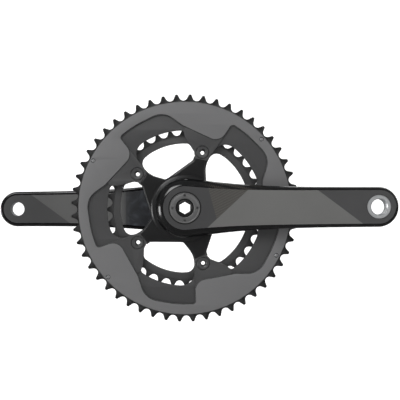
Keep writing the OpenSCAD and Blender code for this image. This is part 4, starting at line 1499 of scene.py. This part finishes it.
@dataclass
class Studio:
    """Pale floor and backdrop, soft lamps and the camera."""

    floor_z: float = -0.40
    wall_y: float = 1.3
    eye_y: float = -0.887
    lens: float = 80.3

    def stage_material(self) -> bpy.types.Material:
        """Pale matt material that looks white to the camera and keeps shadows; to glossy rays it is dark grey, which
        paints shade into what the glossy parts reflect.
        """
        material = bpy.data.materials.new("pale_stage")
        material.use_nodes = True
        n = Nodes(material.node_tree)
        shader = material.node_tree.nodes["Principled BSDF"]
        shader.inputs["Roughness"].default_value = 0.9
        path = n.add("ShaderNodeLightPath")
        seen = n.math("MAXIMUM", path.outputs["Is Camera Ray"], path.outputs["Is Transmission Ray"])
        n.tree.links.new(n.math("MULTIPLY", seen, 0.45), shader.inputs["Emission Strength"])
        # Dark grey to glossy rays: painted shade in what the glossy parts reflect of the stage.
        reflected_shade_tint = n.mix(path.outputs["Is Glossy Ray"], (0.86, 0.86, 0.86, 1), (0.22, 0.22, 0.22, 1))
        n.tree.links.new(reflected_shade_tint, shader.inputs["Base Color"])
        shader.inputs["Emission Color"].default_value = (1, 1, 1, 1)
        return material

    def plane(self, name: str, corners: list[tuple[float, float, float]]) -> None:
        """Adds one flat part of the stage."""
        mesh = bpy.data.meshes.new(name)
        mesh.from_pydata(corners, [], [tuple(range(len(corners)))])
        piece = bpy.data.objects.new(name, mesh)
        mesh.materials.append(self.white)
        bpy.context.collection.objects.link(piece)

    def lamp(self, name: str, place: tuple[float, float, float], size: float, watts: float) -> None:
        """Adds a square soft lamp that faces the crankset."""
        light = bpy.data.lights.new(name, "AREA")
        light.size, light.energy = size, watts
        lamp = bpy.data.objects.new(name, light)
        lamp.location = place
        lamp.rotation_euler = Vector(place).to_track_quat("Z", "Y").to_euler()
        bpy.context.collection.objects.link(lamp)

    def world(self) -> None:
        """Makes the world: an even dim dome that the camera sees as white."""
        world = bpy.data.worlds.new("studio")
        bpy.context.scene.world = world
        world.use_nodes = True
        n = Nodes(world.node_tree)
        background = world.node_tree.nodes["Background"]
        path = n.add("ShaderNodeLightPath")
        seen = n.math("MAXIMUM", path.outputs["Is Camera Ray"], path.outputs["Is Transmission Ray"])
        up = n.add("ShaderNodeTexCoord").outputs["Generated"]
        height = n.add("ShaderNodeSeparateXYZ", i0=up).outputs["Z"]
        dome = n.math("ADD", 0.20, n.math("MULTIPLY", height, 0.12))
        n.tree.links.new(n.math("MAXIMUM", dome, seen), background.inputs["Strength"])
        background.inputs["Color"].default_value = (1, 1, 1, 1)

    def camera(self) -> None:
        """Places the camera square to the rings, with the spindle a little left of and below the middle."""
        data = bpy.data.cameras.new("camera")
        data.lens, data.sensor_width = self.lens, 36.0
        data.shift_x, data.shift_y = 0.038, 0.02
        data.clip_start, data.clip_end = 0.01, 50.0
        eye = bpy.data.objects.new("camera", data)
        eye.location = (0, self.eye_y, 0)
        eye.rotation_euler = (math.pi / 2, math.radians(0.35), 0)
        bpy.context.collection.objects.link(eye)
        bpy.context.scene.camera = eye

    def make(self) -> None:
        """Builds the stage, the lamps, the world and the camera."""
        self.white = self.stage_material()
        wide, z, y = 4.0, self.floor_z, self.wall_y
        self.plane("floor", [(-wide, -wide, z), (wide, -wide, z), (wide, y, z), (-wide, y, z)])
        self.plane("backdrop", [(-wide, y, z), (wide, y, z), (wide, y, wide), (-wide, y, wide)])
        self.lamp("key", (-0.9, -1.5, 1.3), 1.0, 26)
        self.lamp("fill", (1.4, -1.5, 0.5), 1.2, 12)
        self.lamp("low_left", (-1.5, -0.5, -0.15), 0.5, 10)
        self.lamp("back", (0.6, 0.9, 1.4), 1.0, 14)
        self.world()
        self.camera()
        bpy.context.scene.view_settings.view_transform = "Standard"


def main() -> None:
    """Builds the crankset in order."""
    logging.basicConfig(level=logging.INFO, format="%(message)s")
    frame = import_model()
    Studio().make()
    finishes = Finishes(Effects())
    crew = Crew(finishes, RingArray(), StarOutline())
    OuterChainring(crew).make()
    InnerChainring(crew).make()
    Spider(crew).make()
    RingBolts(crew).make()
    ShiftPins(crew).make()
    for side in Axis:
        CrankArm(crew, side).make()
        PedalInsert(crew, side).make()
        Bearing(crew, side).make()
    HubEnd(crew).make()
    dress_nodes(frame, finishes)


if __name__ == "__main__":
    main()
